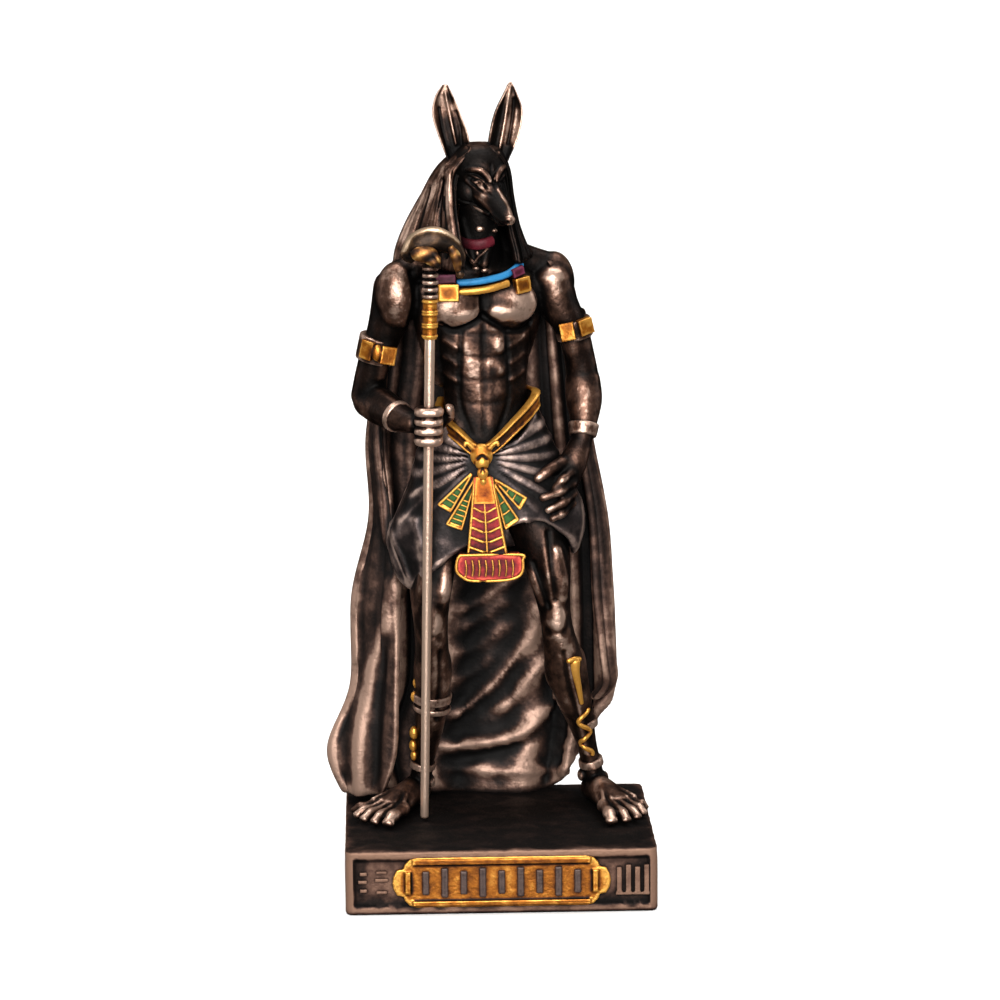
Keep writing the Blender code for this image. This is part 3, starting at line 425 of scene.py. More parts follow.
def cartouche_outline():
    """The cartouche's outline: straight above and below, with stepped round ends."""
    high, end = CARTOUCHE_RISE, CARTOUCHE_HALF
    steps = [
        (end - 2.7, high), (end - 1.9, high * 0.92), (end - 1.35, high * 0.72), (end - 1.2, high * 0.55)
    ]
    steps += [(end - 0.5, high * 0.5), (end - 0.12, high * 0.25), (end, 0.0)]
    right = [(x, -z) for x, z in steps[:-1]] + steps[::-1]
    run = right + [(-x, z) for x, z in right[::-1]]
    return [(x, face_middle + z) for x, z in run]


def cartouche_shells():
    """The field, with a rail above and below it and an upright at each end."""
    shells = [plate(cartouche_outline(), face_front + 0.6, 0.95)]
    for way in (-1, 1):
        rail = FIELD_HALF + 0.4
        z = face_middle + way * (CARTOUCHE_RISE - 0.5)
        shells.append(bar((-rail, face_front - 0.58, z - 0.28), (rail, face_front + 0.3, z + 0.28)))
        x = way * (FIELD_HALF + 0.9)
        low, high = face_middle - 1.25, face_middle + 1.25
        shells.append(bar((x - 0.3, face_front - 0.6, low), (x + 0.3, face_front + 0.3, high)))
    return shells


cartouche = cast(cartouche_shells(), "plinth_cartouche", 0.09, 20000, 4)


def full_gold_wash(co, normal):
    """Gold that is brushed nearly as full on its flats as on its edges."""
    return np.full(len(co), -0.35)


def cartouche_wash(co, normal):
    """The field is brushed full, and the raised edges keep a little wash."""
    return -0.75 + 1.1 * np.clip((face_front - 0.42 - co[:, 1]) / 0.1, 0, 1)


ornament(cartouche, gold_paint, wash_and_light=cartouche_wash)

stroke_shells = []
for i in range(STROKES):
    x = FIELD_HALF * (2 * (i + 0.5) / STROKES - 1)
    tall = CARTOUCHE_RISE * (0.58 if i % 2 else 0.46)
    low, high = face_middle - tall, face_middle + tall
    stroke_shells.append(bar((x - 0.36, face_front - 0.66, low), (x + 0.36, face_front + 0.2, high)))
strokes = cast(stroke_shells, "plinth_strokes", 0.08, 12000, 4)
ornament(strokes, stroke_paint)

relief_shells = []
for i in range(4):
    x = CARTOUCHE_HALF + 0.95 + 1.0 * i
    tall = 1.7 if i % 2 else 1.45
    low, high = face_middle - tall, face_middle + tall
    relief_shells.append(bar((x - 0.28, FRONT + 0.02, low), (x + 0.28, face_front + 0.3, high)))
    foot = face_middle - 1.75
    relief_shells.append(bar((x - 0.42, FRONT + 0.05, foot), (x + 0.42, face_front + 0.3, foot + 0.35)))
for x, wide, z in (
    (-13.2, 0.6, 1.15), (-13.2, 0.75, 0.3), (-13.2, 0.6, -1.1), (-15.2, 0.4, 1.0), (-15.3, 0.5, 0.1),
    (-15.2, 0.4, -0.9)
):
    centre = face_middle + z
    relief_shells.append(bar(
        (x - wide, face_front - 0.2, centre - 0.2), (x + wide, face_front + 0.3, centre + 0.2)
    ))
relief = cast(relief_shells, "plinth_relief", 0.09, 16000, 4)
ornament(relief, base_bronze)

# Legs and feet: bare and muscled, in a wide stance, poured in one with the rest of the figure.
# The knees, shins and toes are rubbed bright and carry painted highlights, and their soles sit flat
# on the plinth's top.
SOLE = PLINTH_TOP
SKIN_GRAIN = 0.14
TOE_HALF = (0.86, 0.7, 0.66, 0.62, 0.56)


def limb(stations, side=(1, 0, 0), steps=8, around=28, cap=0.8):
    """A rounded limb through rows of x, y, z, half width and half depth."""
    rows = smooth_path(stations, steps)
    centre, half = rows[:, :3], np.maximum(rows[:, 3:5], 0.05)
    along = unit(np.gradient(centre, axis=0))
    across = unit(np.array(side) - (along @ np.array(side, float))[:, None] * along)
    ahead = np.cross(along, across)
    turn = np.linspace(0, 2 * math.pi, around, endpoint=False)
    bend = (1.4, 1.1, 0.75, 0.4)
    places = [(0, -math.sin(a), math.cos(a)) for a in bend]
    places += [(i, 0.0, 1.0) for i in range(len(rows))]
    places += [(len(rows) - 1, math.sin(a), math.cos(a)) for a in bend[::-1]]
    rings = []
    for i, out, scale in places:
        middle = centre[i] + along[i] * out * half[i].min() * cap
        ring = across[i] * half[i, 0] * scale * np.cos(turn)[:, None]
        rings.append(middle + ring + ahead[i] * half[i, 1] * scale * np.sin(turn)[:, None])
    return loft(rings)


def ball(centre, radii, side=(1, 0, 0), up=(0, 0, 1)):
    """An ellipsoid with its radii along side, ahead and up."""
    side, up = unit(side), unit(up)
    ahead = np.cross(up, side)
    turn = np.linspace(0, 2 * math.pi, 24, endpoint=False)[:, None]
    flat = side * radii[0] * np.cos(turn) + ahead * radii[1] * np.sin(turn)
    heights = np.linspace(-1.5, 1.5, 18)
    return loft([np.array(centre) + flat * math.cos(h) + up * radii[2] * math.sin(h) for h in heights])


def scored(obj, path, width, height, layer=(-9.0, 3.5), side=(1, 0, 0), up=(0, 0, 1), origin=(0, 0, 0)):
    """Raises the skin along a path seen from one side, or sinks it where the height is negative."""
    side, up = unit(side), unit(up)
    away = np.cross(up, side)
    mesh = obj.data
    co, normal = corners_of(mesh), corners_of(mesh, "normal")
    local = co - np.array(origin)
    flat = np.stack([local @ side, local @ up], axis=1)
    deep = local @ away
    run = smooth_path(path, 6)
    reach = 3 * width
    near = (flat > run.min(0) - reach).all(1) & (flat < run.max(0) + reach).all(1)
    near &= (normal @ away < -0.1) & (deep > layer[0]) & (deep < layer[1])
    near = np.flatnonzero(near)
    best = off_path(flat[near], path)
    co[near] += normal[near] * (height * np.exp(-((best / width) ** 2)))[:, None]
    moved(obj, co)


def eased(obj, rounds, above, over=0.0):
    """Lets the creases between muscles flow together, but leaves fingers and toes as they are."""
    co = corners_of(obj.data)
    soft = averaged(obj.data, co, rounds, share=0.5)
    share = np.clip((co[:, 1] - above) / 1.0, 0, 1) * np.clip((co[:, 2] - over) / 1.5, 0, 1)
    co += (soft - co) * share[:, None]
    moved(obj, co)


def soled(obj):
    """Presses everything below the plinth's top up to it, as a flat sole."""
    co = corners_of(obj.data)
    co[:, 2] = np.maximum(co[:, 2], SOLE - 0.25)
    moved(obj, co)


def leg_shells():
    """Both legs from the hips to the ankles, with their muscles and bones."""
    left = [
        (3.4, 4.2, 46.0, 3.7, 3.3),
        (4.5, 3.3, 41.5, 3.4, 3.3),
        (5.75, 2.3, 36.5, 2.75, 3.2),
        (6.4, 2.0, 32.5, 2.05, 2.6),
        (6.75, 1.6, 29.8, 1.75, 2.25),
        (7.2, 2.0, 27.0, 1.95, 2.2),
        (7.9, 2.9, 24.0, 2.3, 2.5),
        (8.7, 3.7, 20.5, 2.05, 2.3),
        (9.7, 4.6, 17.0, 1.5, 1.7),
        (10.4, 5.3, 14.0, 1.15, 1.45),
        (11.0, 5.8, 11.0, 1.2, 1.6),
        (11.1, 6.2, 9.2, 1.2, 1.5),
    ]
    right = [
        (-5.4, 4.2, 46.0, 3.4, 3.2),
        (-6.4, 3.7, 41.0, 3.3, 3.2),
        (-7.1, 2.7, 36.0, 2.8, 3.1),
        (-7.3, 1.8, 32.5, 2.3, 2.8),
        (-7.3, 1.4, 29.5, 1.95, 2.35),
        (-7.2, 1.9, 26.5, 1.9, 2.3),
        (-7.2, 2.8, 23.5, 2.1, 2.5),
        (-7.3, 3.6, 19.5, 1.9, 2.2),
        (-7.7, 4.6, 15.5, 1.45, 1.7),
        (-8.2, 5.2, 12.6, 1.15, 1.45),
        (-8.6, 5.6, 10.4, 1.25, 1.6),
        (-8.7, 6.0, 9.2, 1.2, 1.5),
    ]
    shells = [limb(left), limb(right)]
    # Kneecaps with the fat pad below each, thigh heads, calves and ankle bones.
    for x, y, z in ((6.6, 0.0, 30.0), (-7.2, -0.4, 29.8)):
        shells.append(ball((x, y + 0.35, z), (1.35, 0.9, 1.5)))
        shells.append(ball((x + 0.2, y + 0.5, z - 1.9), (0.95, 0.6, 1.0)))
    for run in (
        [(3.7, 1.2, 38.0, 0.9, 0.9), (4.8, 0.2, 34.5, 1.1, 1.0), (5.6, 0.2, 31.8, 0.7, 0.6)],
        [(6.6, 0.0, 38.0, 0.9, 0.9), (7.2, -0.1, 34.5, 1.0, 1.0), (7.4, 0.1, 32.0, 0.6, 0.6)],
        [(5.2, 0.3, 40.0, 0.9, 0.7), (6.0, -0.5, 36.0, 0.95, 0.8), (6.5, -0.3, 32.6, 0.5, 0.5)],
        [(-5.7, 0.8, 37.0, 0.9, 0.9), (-6.0, 0.0, 33.6, 1.05, 1.0), (-6.4, 0.2, 31.2, 0.7, 0.6)],
        [(-7.6, 0.4, 37.0, 0.9, 0.9), (-8.0, 0.0, 34.0, 1.0, 0.9), (-8.1, 0.2, 31.6, 0.6, 0.6)],
    ):
        shells.append(limb(run))
    for x, y, z, wide in (
        (6.8, 3.4, 24.0, 1.35), (9.1, 3.5, 23.2, 1.25), (-6.1, 3.3, 23.6, 1.2), (-8.1, 3.4, 23.0, 1.1)
    ):
        shells.append(ball((x, y, z), (wide, 1.9, 3.1)))
    for x, y, z in ((9.8, 5.4, 10.6), (12.3, 5.6, 10.2), (-7.5, 5.2, 10.2), (-9.9, 5.4, 9.9)):
        shells.append(ball((x, y, z), (0.55, 0.75, 0.75)))
    # The shin bone's edge, from the knee to the ankle.
    shells.append(limb([
        (7.3, 0.1, 27.0, 0.5, 0.4), (8.6, 1.3, 22.0, 0.45, 0.5), (10.3, 3.9, 13.5, 0.4, 0.4)
    ]))
    shells.append(limb([
        (-7.1, -0.1, 26.8, 0.5, 0.4), (-7.1, 1.3, 21.6, 0.45, 0.5), (-8.2, 3.9, 12.6, 0.4, 0.4)
    ]))
    return shells


def foot_shells(heel, arch, ball_of_foot, tips):
    """A bare foot that points ahead and out, with spread toes that each have two knuckles."""
    out = unit(np.array(ball_of_foot) - np.array(heel))
    turned = np.array((-out[1], out[0]))
    way = -1 if ball_of_foot[0] > 0 else 1
    low = SOLE
    shells = [
        limb(
            [
                (*heel, low + 1.2, 1.25, 1.25),
                (*arch, low + 1.75, 1.45, 1.75),
                (*ball_of_foot, low + 1.1, 2.35, 1.1),
            ],
            side=(*turned, 0),
            cap=0.6,
        )
    ]
    for i, (tip, size) in enumerate(zip(tips, TOE_HALF)):
        root = np.array(ball_of_foot) + turned * (2.0 - 0.95 * i) * way
        tip = np.array(tip)
        near, far = root * 0.62 + tip * 0.38, root * 0.3 + tip * 0.7
        stations = [
            (*root, low + 1.3, size * 0.9, 0.85),
            (*near, low + 1.25, size * 0.72, size * 0.75),
            (*far, low + 1.15, size * 0.9, size * 0.85),
            (*(far * 0.35 + tip * 0.65), low + 0.85, size * 0.75, size * 0.7),
            (*tip, low + 0.62, size * 0.85, size * 0.62),
        ]
        shells.append(limb(stations, steps=4, around=16))
        bone = np.array(arch) * 0.55 + root * 0.45
        tendon = [
            (*np.array(arch), low + 2.9, 0.3, 0.3), (*bone, low + 2.55, 0.26, 0.3),
            (*root, low + 1.95, 0.3, 0.3)
        ]
        shells.append(limb(tendon, steps=4, around=12))
    return shells


left_tips = [(12.6, -5.3), (14.3, -4.9), (15.6, -3.7), (16.4, -2.0), (16.7, 0.3)]
right_tips = [(-12.4, -4.8), (-13.9, -4.1), (-15.1, -2.8), (-15.9, -1.2), (-16.2, 0.9)]
leg_parts = leg_shells()
leg_parts += foot_shells((10.9, 7.6), (11.9, 3.8), (13.8, -0.4), left_tips)
leg_parts += foot_shells((-8.6, 7.6), (-9.8, 4.0), (-12.4, -0.2), right_tips)
legs = cast(leg_parts, "legs_and_feet", SKIN_GRAIN, 0, 3)
eased(legs, 16, above=-9.0, over=PLINTH_TOP + 3.5)
for x, z in ((6.7, 29.9), (-7.25, 29.7)):
    for way in (-1, 1):
        crease = [(x + way * 1.0, z + 2.0), (x + way * 1.45, z + 0.2), (x + way * 0.9, z - 1.6)]
        scored(legs, crease, 0.35, -0.12, layer=(-3, 2.5))
    scored(legs, [(x - 0.8, z - 1.25), (x, z - 1.45), (x + 0.8, z - 1.25)], 0.3, -0.08, layer=(-3, 2.5))
scored(legs, [(5.9, 40.0), (6.2, 36.0), (6.6, 32.4)], 0.3, -0.22, layer=(-3, 2))
scored(legs, [(4.2, 36.6), (5.2, 33.6), (5.9, 31.4)], 0.25, -0.18, layer=(-3, 2))
scored(legs, [(7.6, 26.2), (8.1, 22.4), (9.2, 18.2)], 0.3, -0.2, layer=(-3, 4))
scored(legs, [(-6.3, 26.4), (-6.4, 22.4), (-6.8, 18.2)], 0.3, -0.2, layer=(-3, 4))
soled(legs)
relaxed(legs, 2)
LEG_FACES = 90000
thinned(legs, LEG_FACES)
# Strokes rubbed lighter: rubbed wear and painted highlights on the thighs, knees, shins and toes.
LEG_RUBS_AND_HIGHLIGHTS = (
    ([(6.7, 39.4), (6.5, 36.9), (5.8, 34.1)], 0.7, 0.3),
    ([(7.6, 25.4), (8.4, 22.0), (9.3, 18.6)], 0.6, 0.3),
    ([(6.8, 32.6), (7.5, 31.0), (7.1, 29.8)], 0.77, 0.55),
    ([(7.2, 28.0), (8.1, 26.4)], 0.77, 0.4),
    ([(-6.3, 31.0), (-6.3, 28.9)], 0.77, 0.55),
    ([(-5.5, 36.4), (-5.7, 33.9)], 0.77, 0.45),
    ([(-6.3, 25.0), (-6.1, 22.4)], 0.77, 0.45),
    ([(-6.8, 19.9), (-7.1, 17.6)], 0.62, 0.35),
    ([(10.2, 13.8), (11.1, 11.5), (11.7, 9.4)], 0.77, 0.35),
    ([(-16.2, 9.6), (-14.6, 9.5), (-12.4, 9.4)], 0.7, 0.35),
    ([(12.6, 9.4), (15.0, 9.5), (16.7, 9.6)], 0.7, 0.35),
)


def leg_wash_shade_and_highlights(co, normal):
    """Light wash over the shins and feet, painted shade on the thighs under the kilt, and rubs and painted
    highlights along the strokes.
    """
    return 0.2 + 0.4 * np.clip((co[:, 2] - 32) / 3, 0, 1) - rubbed_and_highlit(co, normal, LEG_RUBS_AND_HIGHLIGHTS)


finished(legs, dark_bronze, stands_for=["figure"], wash_and_light=leg_wash_shade_and_highlights)

# Greaves and anklets: bands on the shins, raised in the casting, with gold-painted ornament:
# a long pointed plaque and a small wavy serpent on the left shin, and dots of gold on the right.
greave_bands = []
for low, high in (
    ((9.95, 4.8, 17.3, 1.65, 1.9), (10.05, 4.9, 16.5, 1.6, 1.85)),
    ((10.75, 5.5, 12.5, 1.4, 1.7), (10.9, 5.6, 11.7, 1.45, 1.75)),
    ((-7.2, 3.4, 20.9, 2.25, 2.45), (-7.25, 3.5, 20.0, 2.2, 2.4)),
    ((-7.25, 3.6, 19.4, 2.2, 2.35), (-7.3, 3.65, 18.9, 2.1, 2.3)),
    ((-8.3, 5.3, 12.5, 1.45, 1.75), (-8.4, 5.4, 11.8, 1.45, 1.75)),
):
    greave_bands.append(limb([low, high], cap=0.12, around=40))
greaves = cast(greave_bands, "greave_bands", 0.11, 16000, 3)
finished(greaves, dark_bronze)


def laid_on(obj, stations, sunk=0.05):
    """Stations of x, z, half width and half depth, placed on the front of a finished piece."""
    skin = BVHTree.FromObject(obj, bpy.context.evaluated_depsgraph_get())
    rows = []
    for x, z, wide, deep in stations:
        hit = skin.ray_cast((x * MM, -0.05, z * MM), (0, 1, 0))[0]
        if hit is not None:
            rows.append((x, hit.y / MM + sunk, z, wide, deep))
    return rows


serpent_path = []
for i in range(29):
    t = i / 28
    serpent_path.append((9.75 + 0.6 * t + 0.62 * math.cos(t * 4.1 * math.pi), 18.9 - 5.6 * t, 0.27, 0.3))
shin_plaque = [
    (8.75, 24.9, 0.7, 0.4), (8.9, 23.6, 0.5, 0.4), (9.25, 21.8, 0.38, 0.38), (9.6, 19.9, 0.28, 0.3)
]
gold_shin = [
    limb(laid_on(legs, shin_plaque), around=16),
    limb(
        laid_on(legs, [(8.1, 25.1, 0.3, 0.3), (8.75, 25.25, 0.32, 0.34), (9.35, 25.1, 0.3, 0.3)]),
        side=(0, 0, 1)
    ),
    limb(laid_on(legs, serpent_path), steps=2, around=12),
]
for x, y, z, size in (
    (-8.9, 2.6, 22.3, 0.5), (-9.2, 3.0, 20.6, 0.45), (-9.3, 3.9, 16.2, 0.55), (-9.4, 4.4, 14.6, 0.5),
    (-9.3, 4.8, 13.3, 0.45)
):
    gold_shin.append(ball((x, y, z), (size, size, size * 1.4)))
shin_gold = cast(gold_shin, "shin_gold", 0.08, 14000, 2)
ornament(shin_gold, gold_paint)

# Torso, arms and hands: bare skin with cut muscles. The right arm bends to grip the sceptre,
# and the left hangs, its hand closed on the edge of the kilt.
CHEST = (-1.7, 3.8)
CHEST_TURN = math.radians(15)
# The belly's middle line.
BELLY = -1.1
staff_high = np.array(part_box("sceptre")[1]) / MM
STAFF_FOOT = (-8.3, -1.35)
STAFF_TOP = (-6.85, -4.6)
STAFF_TOP_HEIGHT = staff_high[2]


def chest(across, ahead, z):
    """A point of the turned chest: across to the figure's left, ahead to the front."""
    c, s = math.cos(CHEST_TURN), math.sin(CHEST_TURN)
    return (CHEST[0] + across * c + ahead * s, CHEST[1] + across * s - ahead * c, z)


def staff_at(z):
    """Where the staff's axis stands at a height, on its lean."""
    t = (z - PLINTH_TOP) / (STAFF_TOP_HEIGHT - PLINTH_TOP)
    return np.array(STAFF_FOOT) + t * (np.array(STAFF_TOP) - np.array(STAFF_FOOT))


def torso_shells():
    """The trunk and the neck, with the muscles of the chest, the back and the belly."""
    lean = (math.cos(CHEST_TURN * 0.8), math.sin(CHEST_TURN * 0.8), 0)
    trunk = [
        (-1.0, 3.6, 42.5, 5.4, 3.4),
        (-1.0, 3.6, 46.0, 6.1, 3.7),
        (-1.0, 3.5, 50.0, 5.3, 3.2),
        (-0.9, 3.4, 54.0, 4.5, 2.9),
        (-1.0, 3.4, 58.0, 5.0, 3.0),
        (-1.4, 3.6, 62.0, 6.0, 3.3),
        (-1.7, 3.9, 65.5, 6.9, 3.4),
        (-1.8, 4.1, 68.3, 6.8, 2.9),
        (-1.7, 4.5, 70.2, 5.0, 2.4),
    ]
    shells = [limb(trunk, side=lean, around=48)]
    for way, reach, width in ((-1, 3.3, 3.3), (1, 3.0, 3.1)):
        shells.append(ball(chest(way * reach, 2.75, 65.6), (width, 1.45, 2.6), side=lean))
        shells.append(ball(chest(way * (reach - 0.6), 3.1, 64.9), (width * 0.8, 1.2, 1.5), side=lean))
        # The back's broad muscle, and the fingers of muscle over the ribs.
        shells.append(
            limb([
                (*chest(way * 6.2, 0.4, 67.0), 1.6, 1.5), (*chest(way * 5.6, 0.0, 62.5), 1.5, 1.8),
                (*chest(way * 4.2, -0.4, 57.0), 1.0, 1.3)
            ])
        )
        shells.append(
            limb(
                [
                    (*chest(way * 9.0, -0.4, 68.8), 1.5, 1.6), (*chest(way * 5.0, -0.9, 70.1), 1.7, 1.8),
                    (-1.6 + way * 1.6, 4.6, 72.4, 1.4, 1.6)
                ],
                side=(0, 1, 0)
            )
        )
        for row, (half_wide, half_tall) in enumerate(((1.0, 1.25), (1.05, 1.2), (1.05, 1.25), (0.95, 1.3))):
            z = 61.0 - 2.6 * row
            across = -1.1 - 0.03 * row + way * (1.5 - 0.05 * row)
            shells.append(ball((across, 0.95 + 0.16 * row, z), (half_wide, 0.62, half_tall)))
        shells.append(limb([
            (BELLY + way * 1.2, 1.2, 53.0, 0.8, 0.5), (BELLY + way * 0.5, 0.8, 50.4, 0.6, 0.4)
        ]))
    shells.append(limb([
        (-1.5, 4.0, 69.0, 3.0, 2.9), (-1.4, 3.0, 73.5, 2.2, 2.5), (-1.3, 2.6, 76.5, 2.3, 2.4)
    ]))
    for way in (-1, 1):
        shells.append(limb([
            (-1.4 + way * 1.7, 1.6, 75.0, 0.5, 0.5), (-1.5 + way * 0.5, 0.8, 70.0, 0.45, 0.45)
        ]))
    return shells


def arm_shells():
    """Both arms from the shoulders to the wrists."""
    right = [
        (-10.8, 2.6, 67.4, 2.45, 2.7),
        (-11.3, 2.8, 64.5, 2.35, 2.65),
        (-12.3, 3.2, 61.5, 1.95, 2.35),
        (-13.0, 3.5, 59.5, 1.9, 2.2),
        (-13.7, 3.9, 57.0, 1.8, 2.05),
        (-13.9, 4.2, 54.9, 2.05, 2.0),
    ]
    forearm = [
        (-13.8, 4.1, 54.5, 2.05, 2.05),
        (-12.3, 2.0, 53.9, 2.1, 2.0),
        (-10.4, -0.7, 53.2, 1.6, 1.65),
        (-8.9, -2.4, 52.9, 1.15, 1.3),
    ]
    left = [
        (6.6, 5.6, 67.7, 2.3, 2.5),
        (7.4, 5.8, 65.0, 2.2, 2.6),
        (8.9, 6.0, 62.0, 1.85, 2.3),
        (9.7, 6.2, 59.0, 1.75, 2.1),
        (10.1, 6.2, 56.5, 1.85, 2.0),
    ]
    lower = [
        (10.1, 6.0, 56.2, 2.0, 2.0),
        (10.2, 4.9, 54.0, 2.05, 1.95),
        (10.1, 3.6, 51.6, 1.5, 1.5),
        (9.8, 2.6, 49.6, 1.1, 1.15),
    ]
    shells = [limb(right), limb(forearm, side=(0, 0, 1)), limb(left), limb(lower)]
    shells.append(ball(chest(-9.3, 0.0, 66.6), (2.4, 2.45, 3.8)))
    shells.append(ball(chest(8.95, -0.2, 67.2), (2.4, 2.35, 3.5)))
    for run in (
        [(-11.2, 1.6, 63.5, 0.9, 0.8), (-12.2, 1.9, 60.5, 1.2, 1.05), (-12.8, 2.4, 57.5, 0.8, 0.8)],
        [(7.8, 4.5, 63.8, 0.9, 0.8), (8.9, 4.7, 60.8, 1.2, 1.05), (9.6, 5.0, 57.8, 0.8, 0.8)],
        [(-12.3, 4.2, 63.4, 0.8, 0.9), (-13.6, 4.6, 59.9, 0.7, 0.8), (-14.1, 5.0, 56.4, 0.5, 0.6)],
        [(9.9, 7.4, 63.6, 0.7, 0.8), (10.5, 7.4, 60.4, 0.5, 0.7), (11.0, 7.2, 56.8, 0.4, 0.5)],
        [(11.0, 5.2, 56.6, 0.9, 0.9), (11.0, 4.2, 53.6, 0.8, 0.9), (10.4, 3.0, 50.6, 0.4, 0.5)],
    ):
        shells.append(limb(run))
    shells.append(
        limb(
            [(-13.4, 3.0, 55.8, 0.8, 0.9), (-11.8, 0.6, 55.0, 0.8, 0.8), (-9.9, -1.6, 54.0, 0.4, 0.4)],
            side=(0, 0, 1)
        )
    )
    return shells


def hand_shells():
    """A fist round the staff, and a hand that clutches the kilt's edge."""
    shells = []
    grip = 1.16
    for finger in range(4):
        z = 54.35 - 1.06 * finger
        x, y = staff_at(z)
        row = []
        for turn, knuckle in (
            (150, 1.0), (195, 0.98), (232, 1.12), (275, 0.96), (308, 1.1), (345, 0.92), (380, 0.9)
        ):
            a = math.radians(turn)
            reach = grip * (1.05 if knuckle > 1 else 1.0)
            row.append((x + reach * math.cos(a), y + reach * math.sin(a), z, 0.58, 0.52 * knuckle))
        shells.append(limb(row, side=(0, 0, 1), steps=4, around=16))
    low, high = staff_at(51.0), staff_at(54.5)
    shells.append(limb([(*low, 51.0, 1.56, 1.56), (*high, 54.5, 1.56, 1.56)], cap=0.3))
    shells.append(ball((-8.1, -2.2, 52.8), (1.1, 1.0, 2.05)))
    shells.append(ball((-6.9, -1.9, 52.7), (1.1, 0.75, 1.9)))
    shells.append(limb([
        (-6.2, -1.9, 52.6, 0.7, 0.7), (-5.1, -2.3, 53.8, 0.56, 0.56), (-4.95, -3.1, 54.7, 0.45, 0.45)
    ]))
    shells.append(
        limb([
            (9.8, 2.8, 49.8, 1.2, 1.2), (8.8, 1.7, 47.6, 1.6, 1.2), (7.7, 0.9, 45.6, 1.7, 1.0),
            (7.2, 0.7, 44.2, 1.5, 0.85)
        ])
    )
    shells.append(limb([
        (7.6, 1.0, 47.6, 0.8, 0.8), (5.9, -0.2, 46.9, 0.7, 0.7), (4.7, -0.6, 46.1, 0.52, 0.52)
    ]))
    for knuckle, joint, tip in (
        ((8.5, 0.4, 46.6), (7.5, -0.8, 46.0), (6.6, -1.0, 45.1)),
        ((8.6, 0.3, 45.4), (7.3, -1.0, 44.8), (5.2, -1.0, 44.0)),
        ((8.7, 0.3, 44.3), (7.6, -1.0, 43.5), (5.8, -0.9, 42.6)),
        ((8.6, 0.4, 43.2), (7.4, -0.7, 42.2), (6.3, -0.7, 41.6)),
    ):
        knuckle, joint, tip = (np.array(p) for p in (knuckle, joint, tip))
        row = [
            (*knuckle, 0.62, 0.62),
            (*((knuckle + joint) / 2), 0.5, 0.52),
            (*joint, 0.6, 0.6),
            (*((joint + tip) / 2), 0.47, 0.48),
            (*tip, 0.46, 0.44),
        ]
        shells.append(limb(row, side=(0, 0, 1), steps=4, around=16))
    return shells


body = cast(torso_shells() + arm_shells() + hand_shells(), "torso_and_arms", SKIN_GRAIN, 0, 3)
eased(body, 8, above=-2.4)
PECTORAL_LINE = [
    (-5.8, 63.6), (-4.6, 62.8), (-3.0, 63.2), (-1.7, 64.0), (-1.2, 64.4), (-0.2, 63.6), (1.6, 62.6),
    (3.2, 62.5), (4.4, 63.2)
]
scored(body, PECTORAL_LINE, 0.32, -0.34)
scored(body, [(-1.0, 69.0), (-1.2, 66.5), (-1.2, 64.2)], 0.3, -0.3)
scored(body, [(-1.1, 63.4), (-1.15, 60.0), (-1.1, 56.0), (-1.1, 51.6)], 0.35, -0.1)
for z in (62.4, 59.8, 57.2, 54.6):
    scored(
        body, [(-3.7, z + 0.25), (-2.4, z - 0.05), (-1.1, z - 0.15), (0.3, z - 0.05), (1.6, z + 0.25)], 0.3,
        -0.06
    )
for way in (-1, 1):
    scored(
        body,
        [
            (BELLY + way * 2.5, 62.4), (BELLY + way * 2.75, 58.0), (BELLY + way * 2.6, 54.4),
            (BELLY + way * 1.5, 51.2)
        ],
        0.3, -0.14
    )
    for row in range(3):
        z = 61.4 - 1.9 * row
        scored(body, [(BELLY + way * 3.0, z - 0.6), (BELLY + way * 4.4, z + 0.3)], 0.3, 0.14)
    scored(
        body, [(BELLY + way * 0.9, 69.1), (BELLY + way * 4.0, 69.5), (BELLY + way * 7.4, 70.2)], 0.4, 0.16
    )
    scored(body, [(-1.0 + way * 4.8, 55.8), (-1.0 + way * 3.0, 51.8)], 0.5, 0.22)
scored(body, [(-9.0, 69.2), (-8.6, 66.4), (-9.2, 63.6)], 0.35, -0.3)
scored(body, [(5.0, 69.6), (5.0, 66.6), (6.2, 63.8)], 0.35, -0.3)
for finger in range(3):
    z = 53.82 - 1.06 * finger
    scored(body, [(-8.9, z), (-7.0, z), (-5.2, z)], 0.13, -0.16, layer=(-7, -2.6))
relaxed(body, 2)
BODY_FACES = 110000
thinned(body, BODY_FACES)
# Strokes rubbed lighter on the chest, belly, shoulders and arms: rubbed wear and painted highlights.
BODY_RUBS_AND_HIGHLIGHTS = (
    ([(-4.6, 65.2), (-3.5, 64.2), (-2.5, 63.9)], 1.1, 0.3),
    ([(0.6, 63.6), (2.3, 64.5), (3.6, 65.8)], 1.4, 0.5),
    ([(-3.6, 61.5), (-2.9, 60.3), (-2.5, 58.1)], 0.57, 0.45),
    ([(-0.1, 61.6), (0.2, 60.3), (-0.5, 59.0)], 0.57, 0.45),
    ([(-1.5, 59.2), (-2.0, 57.6)], 0.57, 0.25),
    ([(0.6, 57.8), (0.4, 56.3)], 0.57, 0.3),
    ([(-1.8, 56.3), (-1.1, 54.5), (-0.9, 52.2)], 0.72, 0.4),
    ([(-9.8, 69.8), (-10.7, 67.3), (-11.4, 64.2)], 0.9, 0.2),
    ([(6.2, 69.6), (7.1, 68.2), (7.5, 66.9)], 1.2, 0.38),
    ([(9.5, 57.3), (10.2, 54.6), (9.9, 52.1)], 1.2, 0.4),
    ([(10.4, 60.4), (11.1, 58.5)], 0.86, 0.25),
    ([(5.4, 43.1), (6.8, 44.0)], 0.57, 0.4),
    ([(5.6, 42.2), (7.2, 42.6)], 0.57, 0.35),
    ([(7.2, 45.8), (7.9, 46.2)], 0.57, 0.3),
    ([(-15.1, 54.8), (-14.5, 52.8), (-12.9, 51.2)], 0.43, 0.25),
)
